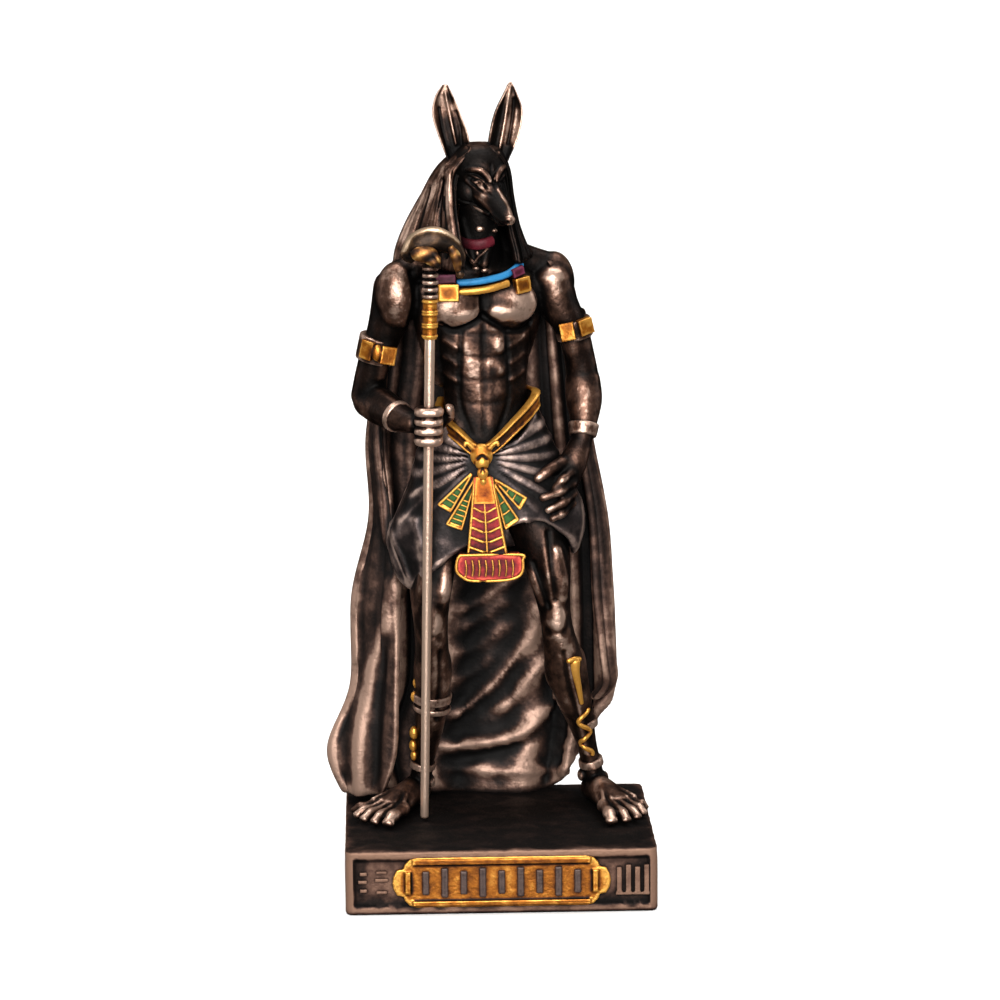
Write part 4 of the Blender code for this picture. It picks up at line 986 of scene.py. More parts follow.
# The fingers round the staff, lighter: rubbed wear and painted highlights.
FIST_RUBS_AND_HIGHLIGHTS = (
    ([(-8.4, 54.2), (-5.6, 54.2)], 0.6, 1.0), ([(-8.4, 52.7), (-5.6, 52.7)], 0.8, 1.0),
    ([(-8.4, 51.2), (-5.6, 51.2)], 0.6, 1.0)
)


def body_wash_shade_and_highlights(co, normal):
    """Painted shade over the throat under the head, darker on the flanks, and rubs and painted highlights
    along the strokes, most on the fingers round the staff.
    """
    out = np.abs(co[:, 0] + 1.4)
    # Painted shade over the throat, under the jaw.
    throat_shade = 1.2 * np.clip((co[:, 2] - 69.6) / 1.0, 0, 1) * (out < 4.5) + 0.3 * np.clip(out - 6, 0, 1)
    return 0.3 + throat_shade - rubbed_and_highlit(co, normal, BODY_RUBS_AND_HIGHLIGHTS) - rubbed_and_highlit(co, normal, FIST_RUBS_AND_HIGHLIGHTS, deepest=-3.0)


finished(body, dark_bronze, wash_and_light=body_wash_shade_and_highlights)

# Armlets and bracelets: bands raised in the casting, with square gold-painted plaques in front.
armlet_bands = [
    limb([(-12.6, 3.3, 61.7, 2.25, 2.6), (-13.2, 3.5, 59.1, 2.2, 2.5)], cap=0.12, around=48),
    limb([(8.9, 6.0, 63.0, 2.1, 2.55), (9.3, 6.1, 61.0, 2.05, 2.45)], cap=0.12, around=48),
    limb(
        [(-10.95, 0.0, 53.4, 1.85, 1.85), (-10.6, -0.5, 53.2, 1.8, 1.8)], side=(0, 0, 1), cap=0.1, around=40
    ),
    limb([(10.1, 3.6, 51.5, 1.75, 1.75), (9.95, 3.1, 50.3, 1.55, 1.6)], cap=0.12, around=40),
]
armlets = cast(armlet_bands, "armlets_and_bracelets", 0.11, 16000, 3)
finished(armlets, dark_bronze)


def tilted_bar(centre, half, turn, tip=0.0):
    """A small block turned about the upright and tipped sideways."""
    c, s = math.cos(turn), math.sin(turn)
    side = np.array((c, s, 0)) * math.cos(tip) + np.array((0, 0, 1)) * math.sin(tip)
    ahead = np.array((s, -c, 0))
    up = np.cross(side, -ahead)
    rings = []
    for d in (-1, 1):
        corner = np.array(centre) + ahead * half[1] * d
        rings.append([
            corner + side * half[0] * a + up * half[2] * b for a, b in ((-1, -1), (1, -1), (1, 1), (-1, 1))
        ])
    return loft(rings)


plaques = [
    tilted_bar((-13.9, 1.15, 60.6), (0.75, 0.5, 1.05), -0.55, -0.25),
    tilted_bar((-11.75, 0.75, 60.0), (0.85, 0.5, 1.0), 0.3, -0.2),
    ball((-12.85, 0.6, 60.3), (0.7, 0.55, 0.95)),
    tilted_bar((8.35, 3.55, 62.0), (0.8, 0.5, 1.0), -0.2, 0.2),
    tilted_bar((10.3, 3.95, 62.5), (0.85, 0.45, 0.9), 0.45, 0.25),
]
armlet_gold = cast(plaques, "armlet_plaques", 0.08, 14000, 3)


def worn_gold_wash(co, normal):
    """Gold blocks with the dark wash left in patches over their flats."""
    return 0.45 + 0.35 * lumps(co, 1.5, 31)


ornament(armlet_gold, gold_paint, wash_and_light=worn_gold_wash)

# Collar and throat: a broad collar painted bright blue over gold, a maroon patch and a gold tab at
# each side, a red choker, and a small hanging drop. All of it is raised in the casting and painted.
blue_paint = aged_casting(
    "bright_blue_enamel_paint", ("031220", "07263f", "0d446c", "226894"), 0.1, 0.4, 0.3, 1.0, 0.25,
    lean=0.06, gleam=0.2
)
maroon_paint = aged_casting(
    "maroon_enamel_paint", ("100306", "24060f", "3c0d1d", "562235"), 0.1, 0.42, 0.3, 1.0, 0.25, lean=0.0,
    gleam=0.2
)


def ribbon_of(points, half_tall, half_deep, name, finish):
    """A painted band through a few points."""
    stations = [(*place, half_tall, half_deep) for place in points]
    piece = cast([limb(stations, side=(0, 0, 1), around=20, cap=0.3)], name, 0.09, 9000, 3)
    return ornament(piece, finish)


collar_run = [
    (-3.3, 3.5, 68.15), (-1.5, 4.05, 68.25), (0.4, 4.2, 68.5), (2.4, 3.9, 68.95), (4.2, 3.1, 69.9)
]
ribbon_of([chest(a, b, z) for a, b, z in collar_run], 0.4, 0.4, "collar_blue", blue_paint)
gold_run = [(a, b + 0.1, z - 0.98) for a, b, z in collar_run[:4]]
ribbon_of([chest(a, b, z) for a, b, z in gold_run], 0.44, 0.42, "collar_gold", gold_paint)
maroon_shells = [
    tilted_bar(chest(-4.55, 3.1, 68.6), (1.15, 0.5, 0.5), CHEST_TURN - 0.3, 0.05),
    tilted_bar(chest(3.5, 3.75, 69.15), (0.75, 0.45, 0.5), CHEST_TURN + 0.3, 0.3),
]
ornament(cast(maroon_shells, "collar_maroon", 0.09, 6000, 3), maroon_paint)
tab_shells = [
    tilted_bar(chest(-4.35, 3.6, 67.15), (1.15, 0.5, 0.95), CHEST_TURN - 0.25, 0.0),
    tilted_bar(chest(4.05, 3.85, 67.65), (0.9, 0.45, 0.85), CHEST_TURN + 0.25, 0.15),
]
tabs = cast(tab_shells, "collar_tabs", 0.09, 9000, 4)
ornament(tabs, gold_paint)
red_paint = aged_casting(
    "red_enamel_paint", ("140404", "44090e", "8a1f22", "c45038"), 0.15, 0.4, 0.3, 0.9, 0.3, lean=0.02,
    gleam=0.2
)
wine_paint = aged_casting(
    "wine_red_enamel_paint", ("0a0203", "1a0307", "30060d", "4c101a"), 0.1, 0.45, 0.3, 1.0, 0.25,
    lean=-0.04, gleam=0.15
)
choker_run = [
    (-3.7, 2.3, 72.5), (-3.0, 1.1, 72.35), (-1.9, 0.5, 72.25), (-0.8, 0.5, 72.4), (0.0, 1.0, 72.65)
]
ribbon_of(choker_run, 0.6, 0.35, "choker", wine_paint)
throat_shells = [
    limb(
        laid_on(
            body,
            [
                (-3.1, 71.8, 0.2, 0.3), (-2.7, 70.9, 0.2, 0.3), (-2.1, 70.3, 0.24, 0.34),
                (-1.4, 71.0, 0.2, 0.3), (-0.6, 71.8, 0.22, 0.3)
            ],
            sunk=-0.05
        ),
        steps=4, around=14
    ),
]
for x, z, wide, tall in (
    (-1.7, 71.3, 0.28, 0.4), (-1.4, 74.0, 0.55, 0.38), (0.2, 73.7, 0.34, 0.28), (-1.9, 69.6, 0.42, 0.3),
    (-0.9, 69.3, 0.5, 0.35)
):
    x, y, z, wide, tall = laid_on(body, [(x, z, wide, tall)])[0]
    throat_shells.append(ball((x, y, z), (wide, 0.32, tall)))
throat = cast(throat_shells, "throat_drop", 0.08, 10000, 2)


def throat_wash(co, normal):
    """Wash in patches over the small hanging pieces."""
    return 0.35 + 0.4 * lumps(co, 0.9, 41)


ornament(throat, dark_bronze, wash_and_light=throat_wash)

# Kilt: pleated cloth wrapped round the hips and knotted low in front, so that the pleats fan out
# from the buckle. It is cast with the figure and has a blue-grey wash, and its edges are rubbed bare.
KNOT = np.array((-1.4, 48.6))
KILT_TONES = ("070504", "13100f", "2a2322", "584a46", "a48c80")
grey_bronze = aged_casting("blue_grey_wash_on_bronze", KILT_TONES, 0.75, 0.38, 0.35, 2.0, 0.35)


def sheet(columns, thickness, rows_each=7, columns_each=5, fold=None):
    """A hanging cloth through guide columns, with round edges, pleated by a fold function."""
    down = np.array([smooth_path(c, rows_each) for c in columns])
    grid = np.array([smooth_path(down[:, j], columns_each) for j in range(down.shape[1])])
    m, n, _ = grid.shape
    u, v = np.meshgrid(np.linspace(0, 1, n), np.linspace(0, 1, m))

    def facing(g):
        return unit(np.cross(np.gradient(g, axis=1), np.gradient(g, axis=0)))

    if fold is not None:
        grid = grid + facing(grid) * fold(u, v, grid)[:, :, None]
    face = facing(grid)
    rows_in = np.minimum(np.arange(m), m - 1 - np.arange(m))[:, None]
    columns_in = np.minimum(np.arange(n), n - 1 - np.arange(n))[None, :]
    edge = np.clip(np.minimum(rows_in * np.ones((1, n)), columns_in * np.ones((m, 1))) / 3, 0, 1)
    half = (thickness / 2 * np.sqrt(1 - (1 - edge) ** 2 * 0.93))[:, :, None]
    points = np.concatenate([(grid + face * half).reshape(-1, 3), (grid - face * half).reshape(-1, 3)])
    faces = []
    for i in range(m - 1):
        for j in range(n - 1):
            a = i * n + j
            faces.append((a, a + 1, a + n + 1, a + n))
            faces.append(tuple(m * n + k for k in (a, a + n, a + n + 1, a + 1)))
    rim = list(range(n)) + [i * n + n - 1 for i in range(1, m)]
    rim += [(m - 1) * n + j for j in range(n - 2, -1, -1)] + [i * n for i in range(m - 2, 0, -1)]
    faces += [(a, a + m * n, b + m * n, b) for a, b in zip(rim, rim[1:] + rim[:1])]
    return points, faces


HEM = np.array(
    [
        (-180, 36.5), (-115, 36.0), (-85, 34.6), (-62, 33.2), (-40, 34.8), (-20, 37.2), (0, 39.5),
        (22, 42.0), (48, 39.6), (76, 37.0), (110, 37.0), (180, 36.5)
    ]
)
WIDE_LEFT = np.array([(33, 9.2), (35, 9.8), (38.9, 10.9), (41, 9.8), (44, 8.4), (49, 7.1), (54, 4.8)])
WIDE_RIGHT = np.array([(33, 9.5), (37, 10.0), (39, 10.8), (42, 10.8), (45, 9.3), (49, 7.5), (54.5, 5.1)])
KILT_DEEP = np.array([(33, 4.5), (38, 4.7), (44, 4.7), (49, 4.1), (54, 3.5)])


def kilt_columns():
    """Guide columns round the hips, from the belt down to the hem."""
    columns = []
    for turn in np.arange(-180, 181, 15):
        a = math.radians(turn)
        top = 54.2 - 4.6 * math.exp(-((turn / 52) ** 2))
        low = np.interp(turn, *HEM.T)
        column = []
        for z in np.linspace(top, low, 7):
            wide = np.interp(z, *(WIDE_LEFT if turn < 0 else WIDE_RIGHT).T)
            depth = np.interp(z, *KILT_DEEP.T) + (0.8 if abs(turn) > 90 else 0)
            across, ahead = (math.copysign(abs(s) ** 0.8, s) for s in (math.sin(a), math.cos(a)))
            column.append((-1.0 + wide * across, 3.7 - depth * ahead, z))
        columns.append(column)
    return columns


def kilt_folds(u, v, grid):
    """Pleats that fan out from the knot in front, and hang straight at the back."""
    x, z = grid[:, :, 0] - KNOT[0], grid[:, :, 2] - KNOT[1]
    ahead = np.clip((5.5 - grid[:, :, 1]) / 2, 0, 1)
    reach = np.hypot(x, z)
    turn = np.arctan2(z, np.abs(x))
    crease = np.abs(np.sin(turn * 12.5 + 0.5)) ** 0.6 - 0.6
    fan = crease * np.clip(reach / 3, 0, 1) * np.clip((11.5 - reach) / 4, 0.15, 1)
    fan *= np.clip((turn + 0.95) / 0.3, 0.1, 1)
    hung = np.sin(2 * math.pi * 26 * u) * 0.6
    hang = 0.35 * np.sin(u * 50 + 3 * v) * np.clip((v - 0.45) * 2, 0, 1)
    return 0.34 * (fan * ahead + hung * (1 - ahead)) + 0.3 * hang * ahead


kilt = joined([sheet(kilt_columns(), 0.8, rows_each=13, columns_each=12, fold=kilt_folds)], "kilt")
relaxed(kilt, 1)
FLAP_EDGE = [(-11.6, 41.2), (-11.5, 39.6), (-10.5, 37.3), (-9.6, 34.7)]
scored(kilt, FLAP_EDGE, 0.25, 0.2, layer=(-4, 6))
scored(kilt, [(-8.4, 35.0), (-6.5, 36.4), (-4.0, 37.7)], 0.25, 0.22, layer=(-4, 6))
scored(kilt, [(3.4, 41.6), (6.2, 39.9), (9.0, 38.0)], 0.25, 0.25, layer=(-4, 6))
scored(kilt, [(-9.0, 41.5), (-8.3, 38.5), (-8.0, 35.5)], 0.6, 0.3, layer=(-4, 6))
relaxed(kilt, 1)
# Strokes rubbed lighter: the rubbed edges of the pleats and hem, and in the last two painted sheen.
KILT_RUBS_AND_HIGHLIGHTS = (
    ([(-9.9, 46.3), (-10.1, 43.9), (-12.1, 40.9), (-11.8, 39.2), (-10.6, 36.0), (-9.8, 34.0)], 0.16, 0.8),
    ([(2.5, 41.6), (5.5, 40.1), (8.1, 38.7)], 0.17, 0.8),
    ([(10.0, 49.3), (9.8, 44.3), (10.0, 40.5), (9.2, 37.3)], 0.2, 0.64),
    ([(-6.7, 36.8), (-4.4, 37.8)], 0.16, 0.72),
    ([(-6.3, 45.3), (-4.2, 46.7)], 0.2, 0.64),
    ([(-10.6, 41.2), (-8.1, 43.9)], 0.25, 0.56),
    ([(-9.5, 43.9), (-7.9, 45.5)], 0.2, 0.48),
    ([(-9.7, 40.1), (-8.7, 37.5)], 0.55, 0.32),
    ([(-6.2, 39.3), (-4.2, 38.2)], 0.55, 0.32),
)


def kilt_wash_and_highlights(co, normal):
    """An even wash, rubbed away along the pleats and the hem in front, and lightened by painted sheen
    in two patches on the front.
    """
    return 0.3 - rubbed_and_highlit(co, normal, KILT_RUBS_AND_HIGHLIGHTS, deepest=5.0)


finished(kilt, grey_bronze, wash_and_light=kilt_wash_and_highlights)

# Belt and buckle: a gold-painted belt that dips in front to a buckle with two curled horns and
# a knot below it, raised in the casting.
gold_belt = []
BELT = [
    (3.6, 5.4, 54.9, 0.8, 0.4),
    (4.7, 2.6, 54.6, 0.8, 0.45),
    (2.4, 0.3, 52.2, 0.8, 0.5),
    (-1.3, -0.9, 49.4, 0.7, 0.5),
    (-4.2, 0.2, 51.2, 0.75, 0.5),
    (-6.0, 2.6, 52.8, 0.75, 0.45),
    (-5.8, 5.4, 53.8, 0.7, 0.4),
]
gold_belt.append(limb(BELT, side=(0, 0, 1), around=20))
for edge in (-1, 1):
    rail = [(x, y - 0.12, z + edge * tall * 0.85, 0.2, deep + 0.1) for x, y, z, tall, deep in BELT]
    gold_belt.append(limb(rail, side=(0, 0, 1), around=14))
belt = cast(gold_belt, "belt", 0.1, 16000, 3)
finished(belt, gold_paint, fine=0.04, broad=0.2)
buckle_shells = [
    ball((-1.5, -1.45, 49.0), (1.25, 0.7, 1.35)),
    ball((-1.45, -1.8, 48.3), (0.8, 0.6, 0.9)),
    ball((-1.4, -1.9, 47.1), (0.62, 0.55, 0.75)),
    ball((-1.35, -1.7, 46.2), (0.45, 0.5, 0.6)),
]
for way in (-1, 1):
    horn = [(-1.5 + way * 0.7, -1.5, 49.6, 0.34, 0.3), (-1.5 + way * 1.35, -1.65, 50.3, 0.28, 0.26)]
    horn += [(-1.5 + way * 1.75, -1.7, 50.5, 0.2, 0.2), (-1.5 + way * 1.85, -1.75, 50.15, 0.16, 0.16)]
    buckle_shells.append(limb(horn, steps=5, around=14))
buckle = cast(buckle_shells, "buckle", 0.08, 14000, 2)
scored(buckle, [(-2.0, 48.7), (-1.45, 49.1), (-0.9, 48.7)], 0.14, -0.16, layer=(-4, 1))
scored(buckle, [(-1.7, 47.3), (-1.4, 47.7), (-1.1, 47.3)], 0.12, -0.14, layer=(-4, 1))
ornament(buckle, gold_paint)

# Apron: a stiff tongue of cloth under the buckle, painted red with gold chevrons and edges, and
# a wide hem piece below it with rounded corners and gold bars.
APRON_FRONT = -2.0
apron_top, apron_low = (46.6, 1.0), (37.6, 2.3)
apron_middle = (-1.35, -0.95)


def apron_at(z, share):
    """A point of the apron's face: height, and how far out from its middle line to its edge."""
    t = (apron_top[0] - z) / (apron_top[0] - apron_low[0])
    middle = apron_middle[0] + t * (apron_middle[1] - apron_middle[0])
    half = apron_top[1] + t * (apron_low[1] - apron_top[1])
    return (middle + share * half, APRON_FRONT + 0.35 - 0.3 * t, z)


def apron_slab(corners, depths):
    """A slab of the apron between two depths, over corners of height and share of its width."""
    return loft([[apron_at(z, share)[:1] + (y, z) for z, share in corners] for y in depths])


apron_corners = [(apron_top[0], -1), (apron_top[0], 1), (apron_low[0], 1), (apron_low[0], -1)]
apron_shells = [apron_slab(apron_corners, (-0.6, -1.85))]
hem_outline = [
    (-4.0, 37.9), (2.6, 37.9), (2.95, 37.3), (2.9, 36.0), (2.2, 35.3), (0.6, 35.0), (-2.6, 35.0),
    (-3.7, 35.4), (-4.4, 36.2), (-4.3, 37.4)
]
apron_shells.append(plate(hem_outline, -0.7, 1.55))
apron = cast(apron_shells, "apron_cloth", 0.09, 24000, 3)
ornament(apron, red_paint)


def cord_row(points, half):
    """A thin round cord through a few points."""
    return limb([(*place, half, half) for place in points], steps=4, around=12)


gold_lines = []
for edge in (-1, 1):
    gold_lines.append(cord_row([apron_at(z, edge * 0.93) for z in (46.5, 42.0, 37.8)], 0.17))
for i in range(7):
    z = 45.4 - 1.12 * i
    point, ends = apron_at(z - 0.55, 0.0), [apron_at(z, way * 0.82) for way in (-1, 1)]
    gold_lines.append(cord_row([ends[0], point, ends[1]], 0.13 + 0.008 * i))
gold_lines.append(cord_row([apron_at(z, 0.0) for z in (46.4, 42.0, 37.9)], 0.13))
ring = [(x, -2.3, z) for x, z in hem_outline]
gold_lines.append(cord_row(ring + ring[:1], 0.17))
for i in range(8):
    x = -3.4 + 5.2 * i / 7
    gold_lines.append(cord_row([(x, -2.28, 37.3), (x + 0.1, -2.32, 36.4), (x, -2.28, 35.5)], 0.1))
apron_gold = cast(gold_lines, "apron_gold", 0.08, 26000, 2)
ornament(apron_gold, gold_paint)
orange_corners = [(46.7, -0.85), (46.7, 0.85), (43.6, 0.85), (43.6, -0.85)]
orange_shells = [apron_slab(orange_corners, (-1.0, -1.98))]
orange_paint = aged_casting(
    "orange_gold_enamel_paint", ("240b04", "602408", "a85a1a", "d0903c"), 0.45, 0.4, 0.3, 0.8, 0.35,
    lean=0.0, gleam=0.2
)
ornament(cast(orange_shells, "apron_orange", 0.09, 5000, 3), orange_paint)

# Ribbons: flat green ends that fan out from behind the buckle, each edged in gold with small bars.
green_paint = aged_casting(
    "green_enamel_paint", ("030602", "091806", "132e0d", "2e5022"), 0.1, 0.42, 0.3, 1.0, 0.25, lean=0.0,
    gleam=0.15
)
RIBBONS = (
    ((-2.4, 47.2), (-6.3, 43.5), (-5.0, 42.7), 4),
    ((-2.05, 46.7), (-5.4, 41.3), (-3.8, 40.7), 6),
    ((-0.3, 46.4), (3.4, 44.1), (2.7, 42.9), 3),
    ((-0.3, 46.0), (2.5, 41.7), (1.1, 40.7), 3),
)
green_shells, edge_shells = [], []
for k, (knot, out_far, out_near, bars) in enumerate(RIBBONS):
    front = -1.25 - 0.14 * (k % 2)
    a, b, c = (np.array(p) for p in (knot, out_far, out_near))
    start_far, start_near = a + (b - a) * 0.08, a + (c - a) * 0.08
    outline = [tuple(start_far), tuple(b), tuple(c), tuple(start_near)]
    green_shells.append(plate(outline, front + 0.7, 0.75))
    rails = [(start_far, b), (start_near, c), (b, c)]
    for t in np.linspace(0.45, 0.95, bars):
        rails.append((start_far + (b - start_far) * t, start_near + (c - start_near) * t))
    for r, (p, q) in enumerate(rails):
        wide = 0.15 if r < 3 else 0.1
        edge_shells.append(cord_row(
            [
                (*p[:1], front - 0.06, p[1]), (*((p + q) / 2)[:1], front - 0.08, (p + q)[1] / 2),
                (*q[:1], front - 0.06, q[1])
            ],
            wide
        ))
ornament(cast(green_shells, "ribbons", 0.09, 12000, 3), green_paint)
ornament(cast(edge_shells, "ribbon_edges", 0.075, 20000, 2), gold_paint)

# Head: a jackal's, turned to its left and bowed, with a long narrow muzzle. It is carved smooth,
# and rubbed bright with painted highlights on the brows, the ridge of the muzzle and the nose.
HEAD_CENTRE = (-1.3, 2.8, 79.0)
HEAD_TURN = math.radians(28)
HEAD_NOD = math.radians(30)
HEAD_SIDE = np.array((math.cos(HEAD_TURN), math.sin(HEAD_TURN), 0))
HEAD_AHEAD = np.array((math.sin(HEAD_TURN), -math.cos(HEAD_TURN), 0)) * math.cos(HEAD_NOD)
HEAD_AHEAD[2] = -math.sin(HEAD_NOD)
HEAD_UP = np.cross(HEAD_SIDE, -HEAD_AHEAD)


def head(across, ahead, up):
    """A point of the turned and bowed head."""
    return tuple(np.array(HEAD_CENTRE) + HEAD_SIDE * across + HEAD_AHEAD * ahead + HEAD_UP * up)


def head_run(rows, side=HEAD_SIDE):
    """A limb through rows of across, ahead, up, half width and half height in the head's own frame."""
    return limb([(*head(a, f, u), wide, tall) for a, f, u, wide, tall in rows], side=side)


def head_ball(place, radii):
    """An ellipsoid in the head's own frame."""
    return ball(head(*place), radii, side=HEAD_SIDE, up=HEAD_UP)


head_parts = [
    head_ball((0, -1.0, 0.8), (2.95, 3.1, 3.1)),
    head_run([
        (0, 0.2, -0.1, 2.3, 1.9), (0, 2.2, -0.1, 2.0, 1.75), (0, 4.0, 0.0, 1.45, 1.25),
        (0, 5.6, -0.05, 1.08, 1.0), (0, 7.0, -0.1, 0.78, 0.72)
    ]),
    head_run([
        (0, 1.2, 0.9, 0.9, 0.8), (0, 2.6, 0.75, 0.6, 0.6), (0, 4.6, 0.6, 0.42, 0.5),
        (0, 6.8, 0.25, 0.45, 0.42)
    ]),
    head_run([
        (0, 0.4, -1.7, 1.9, 1.1), (0, 2.8, -1.55, 1.25, 0.8), (0, 4.8, -1.3, 0.75, 0.55),
        (0, 6.3, -1.1, 0.55, 0.42)
    ]),
    head_ball((0, 7.35, 0.05), (0.72, 0.62, 0.6)),
    head_ball((0, 6.5, -0.35), (0.85, 0.8, 0.55)),
]
for way in (-1, 1):
    head_parts += [
        head_run(
            [
                (way * 2.4, 0.3, 1.95, 0.3, 0.26), (way * 1.85, 0.9, 2.35, 0.36, 0.32),
                (way * 1.25, 1.35, 2.45, 0.38, 0.34), (way * 0.7, 1.9, 2.15, 0.36, 0.34),
                (way * 0.35, 2.4, 1.7, 0.3, 0.3)
            ],
            side=HEAD_UP,
        ),
        head_ball((way * 1.45, 1.35, 1.2), (0.62, 0.62, 0.55)),
        head_run(
            [
                (way * 2.2, 0.6, 1.6, 0.2, 0.2), (way * 1.7, 1.6, 1.72, 0.22, 0.2),
                (way * 1.0, 2.2, 1.45, 0.2, 0.2)
            ],
            side=HEAD_UP
        ),
        head_run(
            [
                (way * 2.3, 0.7, 0.8, 0.3, 0.25), (way * 1.7, 1.8, 0.55, 0.34, 0.28),
                (way * 1.15, 2.9, 0.6, 0.3, 0.25), (way * 0.6, 4.3, 0.75, 0.22, 0.2)
            ],
            side=HEAD_UP
        ),
        head_ball((way * 1.85, 0.5, -0.9), (1.25, 1.9, 1.6)),
        head_run(
            [
                (way * 2.1, 0.5, -0.4, 0.6, 0.5), (way * 1.45, 2.7, -1.2, 0.45, 0.4),
                (way * 0.9, 4.6, -0.95, 0.3, 0.3)
            ],
            side=HEAD_UP
        ),
        head_run(
            [
                (way * 0.75, 4.2, -0.25, 0.45, 0.4), (way * 0.72, 6.0, -0.35, 0.42, 0.42),
                (way * 0.45, 7.1, -0.3, 0.35, 0.35)
            ],
            side=HEAD_UP
        ),
    ]
EARS = (
    (
        [
            (-3.65, 3.6, 81.0, 1.1), (-4.1, 3.9, 83.6, 1.65), (-4.9, 4.2, 86.2, 1.6),
            (-5.15, 4.4, 88.2, 1.05), (-5.02, 4.6, 89.55, 0.3)
        ],
        0.1
    ),
    (
        [
            (0.6, 4.2, 81.0, 1.2), (1.35, 4.5, 83.8, 1.7), (1.9, 4.8, 86.4, 1.6), (2.1, 5.0, 88.3, 0.85),
            (2.2, 5.2, 89.75, 0.12)
        ],
        0.25
    ),
)


def ear(rows, turn):
    """An upright leaf-shaped ear, hollow in front, with a thick rim."""
    side = np.array((math.cos(turn), math.sin(turn), 0))
    ahead = np.array((math.sin(turn), -math.cos(turn), 0))
    run = np.linspace(-1, 1, 21)
    rings = []
    for x, y, z, half in smooth_path(rows, 10):
        hollow = 0.42 * half * (1 - np.abs(run) ** 2.6)
        wall = 0.5 * (1 - 0.2 * run**2) * min(1, half + 0.15)
        lip = 0.2 * np.exp(-(((np.abs(run) - 0.9) / 0.12) ** 2))
        back = [np.array((x, y, z)) + side * half * r - ahead * h for r, h in zip(run, hollow)]
        front = [p + ahead * (w + k) for p, w, k in zip(back, wall, lip)]
        rings.append(back + front[::-1])
    return loft(rings)


head_parts += [ear(rows, turn) for rows, turn in EARS]
jackal = cast(head_parts, "jackal_head", 0.085, 0, 3)


def face_scored(path, width, height, layer=(-9, 0)):
    """A groove seen from ahead of the face, in the head's own frame."""
    scored(jackal, path, width, height, layer, side=HEAD_SIDE, up=HEAD_UP, origin=HEAD_CENTRE)


# Eyes under heavy brows, a furrow between them, the nostrils and the closed mouth.
for way in (-1, 1):
    face_scored([(way * 2.1, 1.45), (way * 1.5, 1.65), (way * 0.95, 1.3)], 0.13, -0.22)
    face_scored([(way * 2.0, 0.95), (way * 1.5, 0.8), (way * 0.95, 1.1)], 0.12, -0.2)
    face_scored([(way * 0.35, 0.0), (way * 0.42, 0.14)], 0.1, -0.2, layer=(-9, -6))
face_scored([(0, 2.9), (0, 2.2), (0, 1.6)], 0.2, -0.24)
MOUTH = [(1.2, -1.35), (3.0, -1.0), (4.8, -0.72), (6.6, -0.62), (7.4, -0.5)]
for way in (-1, 1):
    mouth = [(-way * ahead, up) for ahead, up in MOUTH]
    scored(jackal, mouth, 0.12, -0.24, (-9, 3), side=-way * HEAD_AHEAD, up=HEAD_UP, origin=HEAD_CENTRE)
EAR_LIGHTS = (
    ([(-5.0, 88.6), (-4.6, 86.6), (-4.3, 85.0), (-3.9, 83.0)], 0.2, 0.26),
    ([(-5.7, 87.0), (-5.4, 85.0), (-4.9, 83.0)], 0.16, -0.16),
    ([(-3.9, 86.6), (-3.4, 84.6), (-3.3, 83.0)], 0.18, -0.16),
    ([(2.1, 89.2), (1.75, 87.0), (1.35, 84.6), (0.85, 82.2)], 0.22, 0.3),
    ([(2.6, 87.8), (2.4, 85.6), (1.9, 83.0)], 0.18, -0.18),
)
for path, width, height in EAR_LIGHTS:
    scored(jackal, path, width, height, layer=(-1, 8))
HEAD_FACES = 80000
thinned(jackal, HEAD_FACES)
# Strokes lighter on the face and ears: painted highlights on the brows, cheeks, muzzle ridge and nose, and
# rubbed wear.
HEAD_RUBS_AND_HIGHLIGHTS = (
    ([(-2.1, 80.5), (-0.9, 80.6), (-0.2, 79.7)], 0.55, 0.65),
    ([(0.3, 79.4), (0.8, 80.2), (1.5, 80.9)], 0.6, 0.7),
    ([(-1.6, 78.9), (-0.6, 78.6), (-0.9, 77.8)], 0.6, 1.1),
    ([(-2.2, 76.4), (-1.4, 76.2)], 0.4, 1.1),
    ([(0.6, 78.4), (1.4, 77.2), (2.0, 76.0)], 0.22, 1.3),
    ([(-1.9, 77.6), (-0.9, 76.9), (-0.3, 76.2)], 0.35, 0.8),
    ([(-2.9, 79.6), (-2.6, 78.2)], 0.4, 0.6),
    ([(1.6, 75.9), (2.2, 75.4), (1.7, 74.7)], 0.5, 1.0),
    ([(-5.2, 89.0), (-5.3, 87.8), (-5.0, 87.0)], 0.95, 0.95),
    ([(-6.4, 87.0), (-6.0, 83.9), (-5.3, 82.2)], 0.4, 0.7),
    ([(-4.8, 87.5), (-4.3, 84.6)], 0.35, 0.35),
    ([(-4.1, 87.2), (-3.2, 84.6), (-2.7, 83.0)], 0.36, 0.65),
    ([(2.1, 89.3), (1.9, 85.6), (1.1, 82.2)], 0.6, 0.9),
    ([(2.9, 86.5), (2.8, 84.5), (2.4, 82.8)], 0.45, 0.9),
)


def head_wash_and_highlights(co, normal):
    """The face is kept dark except along its rubs and painted highlights, and the ears are lighter."""
    ears = np.clip((co[:, 2] - 82.4) / 0.8, 0, 1)
    return 1.3 - 1.35 * ears - rubbed_and_highlit(co, normal, HEAD_RUBS_AND_HIGHLIGHTS)


finished(jackal, dark_bronze, wash_and_light=head_wash_and_highlights)

